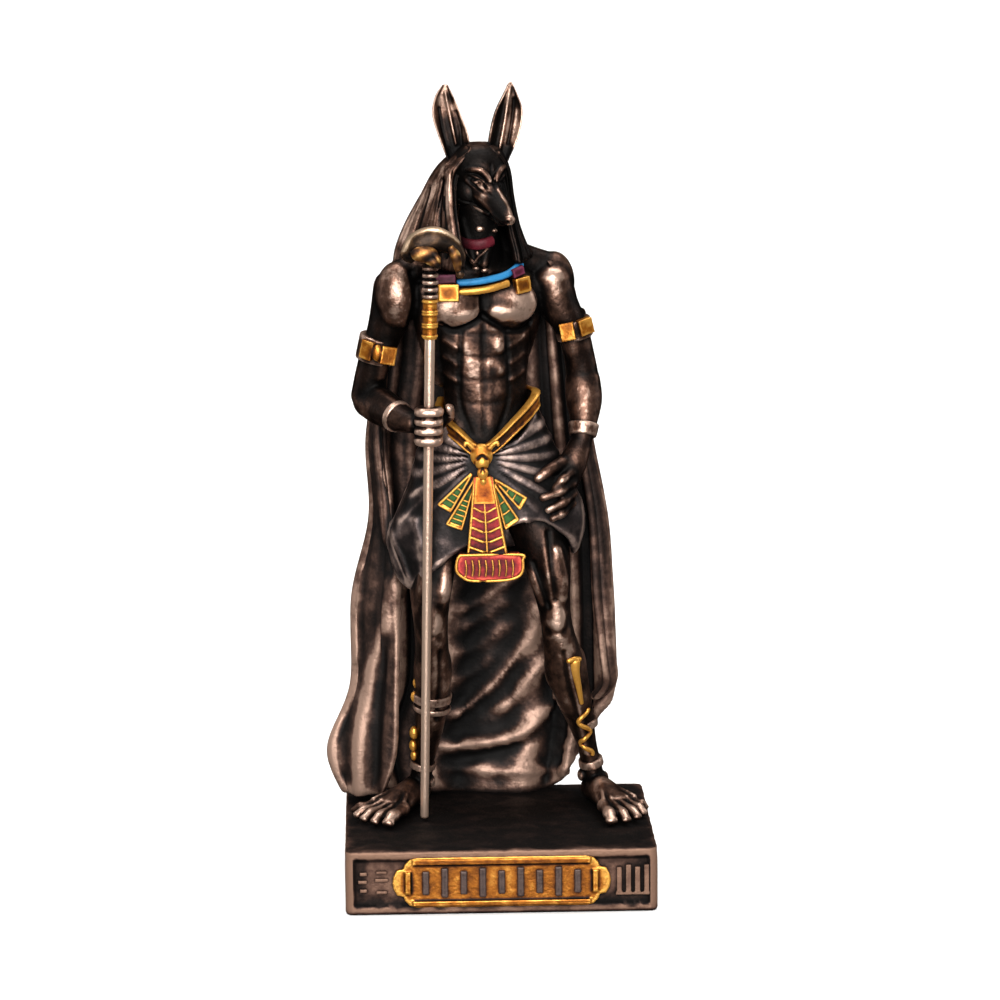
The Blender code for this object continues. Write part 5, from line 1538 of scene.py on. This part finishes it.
# Head cloth: heavy linen that hangs from the crown over both shoulders in long folds.
# Each row of a hanging cloth is its plan at one height: front edge, side, back, side, front edge.
HOOD_LEVELS = (
    (82.6, (-2.1, 2.4), (-2.6, 4.2), (-1.5, 5.2), (-0.2, 4.4), (-0.6, 2.8), 82.5),
    (82.2, (-2.1, 1.6), (-3.3, 4.4), (-1.3, 7.0), (0.7, 4.8), (0.0, 2.1), 82.0),
    (80.0, (-4.0, 1.2), (-5.6, 5.0), (-1.4, 8.5), (1.5, 5.6), (1.3, 2.4), 80.0),
    (77.0, (-4.3, 0.9), (-7.2, 5.0), (-1.5, 9.2), (1.8, 5.5), (1.9, 2.7), 77.0),
    (74.0, (-3.9, 0.6), (-8.8, 5.0), (-1.6, 9.5), (2.4, 5.3), (2.2, 2.4), 74.0),
    (71.2, (-3.5, -0.2), (-9.9, 4.8), (-1.7, 9.6), (3.2, 5.2), (2.8, 1.6), 71.4),
    (69.2, (-3.6, -0.7), (-10.2, 4.4), (-1.7, 9.6), (4.0, 5.2), (3.0, 1.1), 70.0),
)


def hung(levels):
    """Guide columns of a cloth that hangs round the back, from its plan at a few heights."""
    columns = [[] for _ in range(10)]
    for z, left_edge, left, back, right, right_edge, right_z in levels:
        middle = np.array((back[0], back[1]))
        ends = ((np.array(left_edge), np.array(left), z), (np.array(right_edge), np.array(right), right_z))
        plan = []
        for edge, side, height in ends:
            between = (edge + side) / 2 + np.array((0, -0.35))
            quarter = middle + (side - middle) * np.array((0.78, 0.32))
            inner = middle + (side - middle) * np.array((0.42, 0.06))
            low = z if side is ends[0][1] else right_z * 0.35 + z * 0.65
            plan.append([
                (*edge, height), (*between, height), (*side, height), (*quarter, low), (*inner, z)
            ])
        for column, place in zip(columns, plan[0] + plan[1][::-1]):
            column.append(place)
    return columns


def hood_folds(u, v, grid):
    """Deep folds and fine stripes, which start a little below the crown."""
    v = np.clip(1.2 * v - 0.2, 0, 1)
    wave = np.sin(2 * math.pi * 9 * u + 0.4) + 0.5 * np.sin(2 * math.pi * 21 * u + 2 * v)
    stripes = 0.55 * np.sin(2 * math.pi * 66 * u)
    return 0.2 * (wave + stripes) * np.clip(v * 3, 0, 1) * (0.5 + 0.8 * v)


hood = joined([sheet(hung(HOOD_LEVELS), 1.1, rows_each=9, columns_each=40, fold=hood_folds)], "head_cloth")
relaxed(hood, 1)
HOOD_FOLDS = (
    ([(-4.7, 80.6), (-4.6, 77.0), (-4.1, 73.0), (-3.6, 70.6)], 0.28, 0.34),
    ([(-5.2, 79.4), (-5.6, 77.4), (-5.3, 74.0), (-5.0, 71.0)], 0.34, -0.24),
    ([(-6.6, 79.0), (-8.0, 75.8), (-9.3, 72.6)], 0.34, 0.3),
    ([(-6.2, 78.4), (-7.0, 76.0), (-7.9, 72.4)], 0.34, -0.24),
    ([(-5.0, 81.0), (-5.9, 77.0), (-6.4, 73.0)], 0.24, 0.2),
)
for path, width, height in HOOD_FOLDS:
    scored(hood, path, width, height, layer=(-4, 4.5))
# Two folds rubbed lighter: rubbed wear and painted highlights.
HOOD_RUBS_AND_HIGHLIGHTS = (
    ([(-6.7, 78.5), (-8.2, 75.7), (-9.7, 72.6)], 0.7, 0.5),
    ([(-5.2, 80.7), (-5.0, 77.1), (-4.5, 73.6)], 0.5, 0.4),
)


def hood_wash_shade_and_highlights(co, normal):
    """A heavy wash, with painted shade added where the cloth faces ahead at the left of the face, and rubs
    and painted highlights along two folds.
    """
    ahead = np.clip(0.5 - 2 * normal[:, 1], 0, 1)
    return 0.8 + ahead * np.clip(co[:, 0], 0, 1) - rubbed_and_highlit(co, normal, HOOD_RUBS_AND_HIGHLIGHTS, deepest=6.0)


finished(hood, dark_bronze, wash_and_light=hood_wash_shade_and_highlights)

# Cloak: a heavy cloak hung from the shoulders down to the plinth, swept forward at the right foot and
# gathered in swags behind the legs. Its hem is cast onto the plinth's top, but at the left it ends higher.
# The same wash on cloth, which is less polished by handling: a dull brown rather than a bright copper.
cloth_bronze = aged_casting(
    "dull_washed_bronze_resin", ("050302", "120b08", "30211b", "5e453a", "a08271"), 0.7, 0.5, 0.35, 1.9, 0.6
)
CLOAK_LEVELS = (
    (70.0, (-9.8, 1.6), (-10.3, 5.4), (0.0, 9.1), (6.7, 6.4), (6.2, 4.2), 69.8),
    (66.0, (-11.7, 6.0), (-12.1, 8.5), (0.0, 9.9), (8.7, 8.0), (7.9, 8.2), 66.0),
    (58.0, (-12.1, 7.2), (-12.5, 9.3), (0.0, 10.1), (9.7, 8.9), (8.7, 8.5), 58.0),
    (49.0, (-12.1, 7.4), (-13.8, 9.7), (0.0, 10.4), (10.8, 9.1), (9.7, 8.2), 49.0),
    (40.0, (-11.3, 6.4), (-13.5, 9.5), (0.0, 10.8), (12.5, 9.1), (10.9, 8.0), 40.0),
    (31.0, (-10.8, 4.6), (-15.5, 8.5), (0.1, 11.2), (13.2, 8.9), (11.3, 7.6), 31.0),
    (21.0, (-11.0, 3.6), (-15.8, 7.9), (0.2, 11.7), (13.5, 8.7), (12.0, 7.2), 24.0),
    (13.8, (-11.3, 3.8), (-18.55, 7.3), (0.2, 11.8), (13.6, 9.1), (12.3, 7.6), 20.8),
    (8.7, (-13.0, 4.6), (-16.9, 7.1), (0.2, 11.3), (12.3, 9.9), (11.1, 8.3), 18.8),
)


def cloak_folds(u, v, grid):
    """Long soft folds down the cloak, deeper towards the hem and quiet over the shoulders."""
    wave = np.sin(2 * math.pi * (11.0 * u + 0.5 * v)) + 0.5 * np.sin(2 * math.pi * (7.0 * u - 0.3 * v))
    wave += 0.35 * np.sin(2 * math.pi * (23.0 * u + 0.8 * v) + 1.0)
    inner = np.clip((np.minimum(u, 1 - u) - 0.12) * 8, 0.15, 1)
    return -(0.25 + 0.35 * v) * wave * inner


cloak = joined([sheet(hung(CLOAK_LEVELS), 0.85, rows_each=19, columns_each=27, fold=cloak_folds)], "cloak")
co = corners_of(cloak.data)
settling = np.clip((12.5 - co[:, 2]) / 3.8, 0, 1) * np.clip((co[:, 0] + 13.5) / 2.5, 0, 1)
co[:, 2] -= 1.5 * settling
moved(cloak, co)
relaxed(cloak, 1)
BEHIND = (6.0, 14.0)
SWAGS = (
    ([(5.6, 29.0), (3.4, 24.2), (-0.8, 19.0), (-4.6, 16.4)], 0.55, 0.9),
    ([(6.2, 23.2), (4.0, 20.6), (2.4, 18.6), (0.8, 17.2)], 0.55, 0.8),
    ([(8.0, 20.2), (5.8, 16.4), (1.8, 13.8), (-5.2, 12.6)], 0.9, 1.0),
    ([(-3.6, 28.9), (-1.0, 30.2), (3.0, 33.4)], 0.45, 0.75),
    ([(-3.4, 26.8), (-1.4, 28.0), (1.4, 30.0)], 0.4, 0.65),
    ([(-4.2, 23.6), (-1.6, 24.6), (1.8, 27.2)], 0.35, 0.5),
    ([(-4.6, 20.6), (-2.6, 21.2), (0.0, 23.4)], 0.35, 0.45),
    ([(4.8, 27.4), (2.4, 22.2), (-1.6, 17.4)], 0.4, -0.6),
    ([(7.4, 17.4), (3.6, 13.2), (-3.0, 11.2)], 0.4, -0.5),
    ([(-5.4, 10.0), (1.0, 9.8), (8.4, 9.6)], 0.5, 0.4),
)
for path, width, height in SWAGS:
    scored(cloak, path, width, height, layer=BEHIND)
PANEL_FOLDS = (
    ([(-11.4, 33.0), (-12.6, 28.0), (-14.2, 22.4), (-15.3, 17.0), (-15.7, 9.0)], 0.9, 0.6),
    ([(-12.4, 27.0), (-13.2, 20.6), (-13.6, 14.8), (-13.6, 9.0)], 0.55, -0.3),
    ([(-17.0, 17.7), (-17.3, 14.2), (-17.2, 10.7)], 0.6, -0.22),
    ([(-13.3, 52.0), (-13.0, 45.0), (-12.2, 38.0)], 0.4, 0.35),
    ([(-12.6, 52.0), (-12.2, 46.0), (-11.6, 40.0)], 0.35, -0.3),
    ([(-15.0, 34.0), (-15.7, 28.0), (-15.6, 24.0)], 0.4, 0.35),
)
for path, width, height in PANEL_FOLDS:
    scored(cloak, path, width, height, layer=(0.0, 9.0))
relaxed(cloak, 3)
soled(cloak)
co, normal = corners_of(cloak.data), corners_of(cloak.data, "normal")
worked = lumps(co, 1.7, 11) + 0.7 * lumps(co, 0.9, 12)
between = np.clip((co[:, 0] + 9.5) / 2, 0, 1) * np.clip((10 - co[:, 0]) / 2, 0, 1)
co += normal * (0.045 * worked * between * np.clip((34 - co[:, 2]) / 8, 0, 1))[:, None]
moved(cloak, co)
# Folds rubbed lighter: rubbed wear and painted highlights on the panel, the swags and the right side.
CLOAK_RUBS_AND_HIGHLIGHTS = (
    ([(-11.4, 47.6), (-12.1, 44.4), (-12.4, 41.0)], 1.24, 0.39),
    ([(-13.1, 37.5), (-13.4, 33.4), (-13.7, 30.5)], 0.69, 0.28),
    ([(-11.6, 28.6), (-14.0, 23.5), (-15.2, 19.5), (-15.6, 14.2), (-15.7, 9.5)], 1.4, 0.4),
    ([(-18.3, 13.9), (-17.8, 11.5)], 0.9, 0.35),
    ([(5.2, 25.6), (3.2, 22.3), (1.3, 19.3), (-0.7, 17.0)], 0.83, 0.39),
    ([(5.2, 18.8), (3.6, 16.7), (2.4, 15.0)], 0.83, 0.33),
    ([(7.0, 16.6), (4.7, 13.8), (0.6, 12.0)], 1.2, 0.2),
    ([(-5.9, 12.6), (-3.4, 11.8), (-1.1, 11.3)], 1.2, 0.2),
    ([(5.1, 8.8), (8.1, 8.6)], 0.69, 0.2),
    ([(12.6, 31.1), (12.8, 26.6), (12.4, 22.7)], 0.69, 0.39),
    ([(11.5, 37.2), (12.6, 33.1)], 0.69, 0.28),
)


def cloak_wash_and_highlights(co, normal):
    """Lighter near the hem and darker above the knees, with rubs and painted highlights along the folds."""
    return 0.35 * np.clip((co[:, 2] - 28) / 6, 0, 1) - rubbed_and_highlit(co, normal, CLOAK_RUBS_AND_HIGHLIGHTS)


finished(cloak, cloth_bronze, fine=0.1, broad=0.6, wash_and_light=cloak_wash_and_highlights)

# Sceptre: a thin straight staff, cast on its own and slid through the fist. A ringed, gold-painted
# grip and a ribbed neck carry a domed animal head with a long snout that curls down.
copper_resin = aged_casting(
    "rubbed_copper_resin", ("0e0806", "3c271d", "846150", "bc957f", "e0bfa8"), 0.85, 0.32, 0.3, 2.0, 0.25,
    lean=0.2
)
olive_resin = aged_casting(
    "olive_wash_on_copper_resin", ("060403", "120c08", "32241a", "684c34", "c8aa8c"), 0.8, 0.33, 0.3, 1.4,
    0.3, lean=0.1
)
rod_rows = []
for z, radius in ((PLINTH_TOP + 0.55, 0.47), (40.0, 0.53), (62.7, 0.57)):
    rod_rows.append((*staff_at(z), z, radius, radius))
rod = joined([limb(rod_rows, steps=12, around=32, cap=0.7)], "sceptre_rod")
finished(rod, copper_resin, stands_for=["sceptre"])
grip_shells = [limb([(*staff_at(z), z, 0.8, 0.8) for z in (62.6, 66.9)], cap=0.2, around=32)]
for z in (62.85, 63.9, 64.2, 65.3, 65.6, 66.7):
    x, y = staff_at(z)
    grip_shells.append(limb([(x, y, z - 0.08, 0.9, 0.9), (x, y, z + 0.08, 0.9, 0.9)], cap=0.2, around=32))
grip = cast(grip_shells, "sceptre_grip", 0.07, 14000, 2)
ornament(grip, gold_paint, wash_and_light=full_gold_wash)
x, y = staff_at(72.0)
neck_shells = [limb([(*staff_at(z), z, 0.6, 0.6) for z in (66.8, 71.2)], cap=0.3, around=24)]
for i in range(5):
    z = 67.25 + 0.78 * i
    ring_x, ring_y = staff_at(z)
    neck_shells.append(limb(
        [(ring_x, ring_y, z - 0.1, 0.9, 0.9), (ring_x, ring_y, z + 0.1, 0.9, 0.9)], cap=0.3, around=24
    ))
neck = cast(neck_shells, "sceptre_neck", 0.075, 12000, 2)
ornament(neck, dark_bronze)
dome_rows = [
    (x - 2.5, y + 0.4, 71.7, 0.85, 0.95),
    (x - 1.3, y + 0.1, 72.9, 1.5, 1.5),
    (x + 0.5, y - 0.1, 73.45, 1.4, 1.5),
    (x + 2.2, y - 0.2, 72.9, 0.9, 1.05),
    (x + 3.1, y - 0.3, 71.8, 0.62, 0.72),
    (x + 3.15, y - 0.35, 70.8, 0.52, 0.55),
    (x + 3.2, y - 0.4, 69.7, 0.5, 0.5),
]
dome_shells = [
    limb(dome_rows, side=(0, 1, 0), around=32),
    limb([(x, y, 70.6, 0.8, 0.8), (x, y, 72.0, 1.1, 1.1)]),
    ball((x + 3.0, y - 0.95, 70.9), (0.22, 0.16, 0.22)),
]
dome = cast(dome_shells, "sceptre_head", 0.08, 24000, 2)
scored(dome, [(x - 2.2, 71.9), (x - 0.6, 72.3), (x + 1.2, 72.0), (x + 2.2, 71.3)], 0.2, -0.2, layer=(-9, 1))
scored(dome, [(x + 2.6, 70.3), (x + 3.6, 70.3)], 0.14, -0.16, layer=(-9, 1))
# A painted highlight in one arc along the top of the dome.
ARC_HIGHLIGHT = (([(-9.9, 72.5), (-8.9, 74.3), (-7.0, 75.0), (-5.2, 74.5), (-3.7, 73.5)], 0.4, 1.0),)


def dome_wash_and_highlight(co, normal):
    """A heavy olive wash, with a painted highlight in one arc along the top of the dome."""
    return 1.0 - 2 * rubbed_and_highlit(co, np.zeros_like(normal), ARC_HIGHLIGHT)


finished(dome, olive_resin, fine=0.04, broad=0.2, wash_and_light=dome_wash_and_highlight)
mask_shells = [
    limb(
        [
            (x - 2.1, y - 0.95, 72.3, 0.2, 0.2), (x - 1.0, y - 1.25, 71.9, 0.55, 0.32),
            (x + 0.3, y - 1.45, 71.2, 0.5, 0.34), (x + 0.9, y - 1.35, 70.6, 0.2, 0.2)
        ],
        side=(0, 0, 1)
    ),
    limb(
        [
            (x + 0.2, y - 1.5, 72.2, 0.3, 0.25), (x + 0.75, y - 1.5, 71.6, 0.36, 0.3),
            (x + 0.9, y - 1.35, 71.0, 0.2, 0.2)
        ],
        side=(0, 0, 1)
    ),
    ball((x - 0.7, y - 1.35, 72.1), (1.5, 0.5, 0.95)),
    limb([
        (x + 2.2, y - 1.0, 72.7, 0.4, 0.3), (x + 2.7, y - 0.95, 71.7, 0.6, 0.4),
        (x + 2.95, y - 0.8, 70.3, 0.38, 0.3)
    ]),
]
mask = cast(mask_shells, "sceptre_mask", 0.07, 9000, 2)
pale_gold = aged_casting(
    "pale_gold_rub", ("100803", "2a1709", "533216", "84582a", "bc9256"), 0.75, 0.38, 0.3, 1.0, 0.3,
    lean=0.02
)


def mask_wash(co, normal):
    """Brown wash in patches over the gilding."""
    return 1.1 + 0.8 * lumps(co, 1.0, 21)


ornament(mask, pale_gold, wash_and_light=mask_wash)

# Where it is seen: a plain pale sweep, a large soft light above the camera, and one at each side.
CAMERA_TARGET = np.array((0.546, 0.0, 43.673))
CAMERA_DISTANCE = 467.14
CAMERA_LENS = 151.05
CAMERA_AZIMUTH, CAMERA_HEIGHT, CAMERA_ROLL = (math.radians(a) for a in (-1.618, 10.893, -0.471))
back = np.array(
    (
        math.sin(CAMERA_AZIMUTH) * math.cos(CAMERA_HEIGHT),
        -math.cos(CAMERA_AZIMUTH) * math.cos(CAMERA_HEIGHT),
        math.sin(CAMERA_HEIGHT),
    )
)
right = unit(np.cross(-back, (0, 0, 1)))
above = np.cross(right, -back)
c, s = math.cos(CAMERA_ROLL), math.sin(CAMERA_ROLL)
axes = np.stack([right * c + above * s, above * c - right * s, back], axis=1)
lens = bpy.data.cameras.new("camera")
lens.lens = CAMERA_LENS
lens.sensor_width = 36
lens.clip_start, lens.clip_end = 0.01, 20
camera = bpy.data.objects.new("camera", lens)
bpy.context.scene.collection.objects.link(camera)
place = Matrix(axes.tolist()).to_4x4()
place.translation = ((CAMERA_TARGET + back * CAMERA_DISTANCE) * MM).tolist()
camera.matrix_world = place
bpy.context.scene.camera = camera

sweep_profile = [(-1.2, 0.0), (0.5, 0.0)]
sweep_profile += [(0.5 + 0.3 * math.sin(a), 0.3 - 0.3 * math.cos(a)) for a in np.linspace(0.2, 1.5, 8)]
sweep_profile.append((0.85, 1.6))
sweep_mesh = bpy.data.meshes.new("sweep")
wide = 1.6
points = [(way * wide, y, z) for y, z in sweep_profile for way in (-1, 1)]
sweep_faces = [(2 * i, 2 * i + 1, 2 * i + 3, 2 * i + 2) for i in range(len(sweep_profile) - 1)]
sweep_mesh.from_pydata(points, [], sweep_faces)
sweep = bpy.data.objects.new("sweep", sweep_mesh)
bpy.context.scene.collection.objects.link(sweep)
sweep_mesh.shade_smooth()
paper = bpy.data.materials.new("matt_white_paper")
paper.use_nodes = True
paper_shader = paper.node_tree.nodes["Principled BSDF"]
paper_shader.inputs["Base Color"].default_value = linear("f4f3f1")
paper_shader.inputs["Roughness"].default_value = 0.9
sweep_mesh.materials.append(paper)
# The studio round it is dark, so the metal reflects only the soft lights.
sweep.visible_glossy = False


def soft_light(name, place, aim, size, watts):
    """A wide light that the camera does not see."""
    lamp = bpy.data.lights.new(name, "AREA")
    lamp.shape = "RECTANGLE"
    lamp.size, lamp.size_y = size
    lamp.energy = watts
    obj = bpy.data.objects.new(name, lamp)
    bpy.context.scene.collection.objects.link(obj)
    away = unit(np.array(place) - np.array(aim))
    across = unit(np.cross((0, 0, 1), away))
    turned = Matrix(np.stack([across, np.cross(away, across), away], axis=1).tolist()).to_4x4()
    turned.translation = place
    obj.matrix_world = turned
    obj.visible_camera = False
    return obj


soft_light("key", (-0.06, -0.6, 0.36), (0, 0, 0.05), (0.5, 0.4), 7.0)
soft_light("front", (0.0, -0.62, 0.04), (0, 0, 0.04), (0.5, 0.22), 2.4)
soft_light("fill_left", (-0.6, 0.1, 0.2), (0, 0, 0.05), (0.1, 0.4), 0.5)
soft_light("fill_right", (0.6, 0.1, 0.22), (0, 0, 0.05), (0.1, 0.4), 0.6)
soft_light("backdrop_light", (0.0, 0.1, 0.75), (0, 0.45, 0.05), (0.9, 0.3), 7.0)
world = bpy.data.worlds.new("studio")
bpy.context.scene.world = world
world.use_nodes = True
world.node_tree.nodes["Background"].inputs["Color"].default_value = linear("ffffff")
world.node_tree.nodes["Background"].inputs["Strength"].default_value = 0.35
world.cycles_visibility.glossy = False
bpy.context.scene.view_settings.view_transform = "Standard"
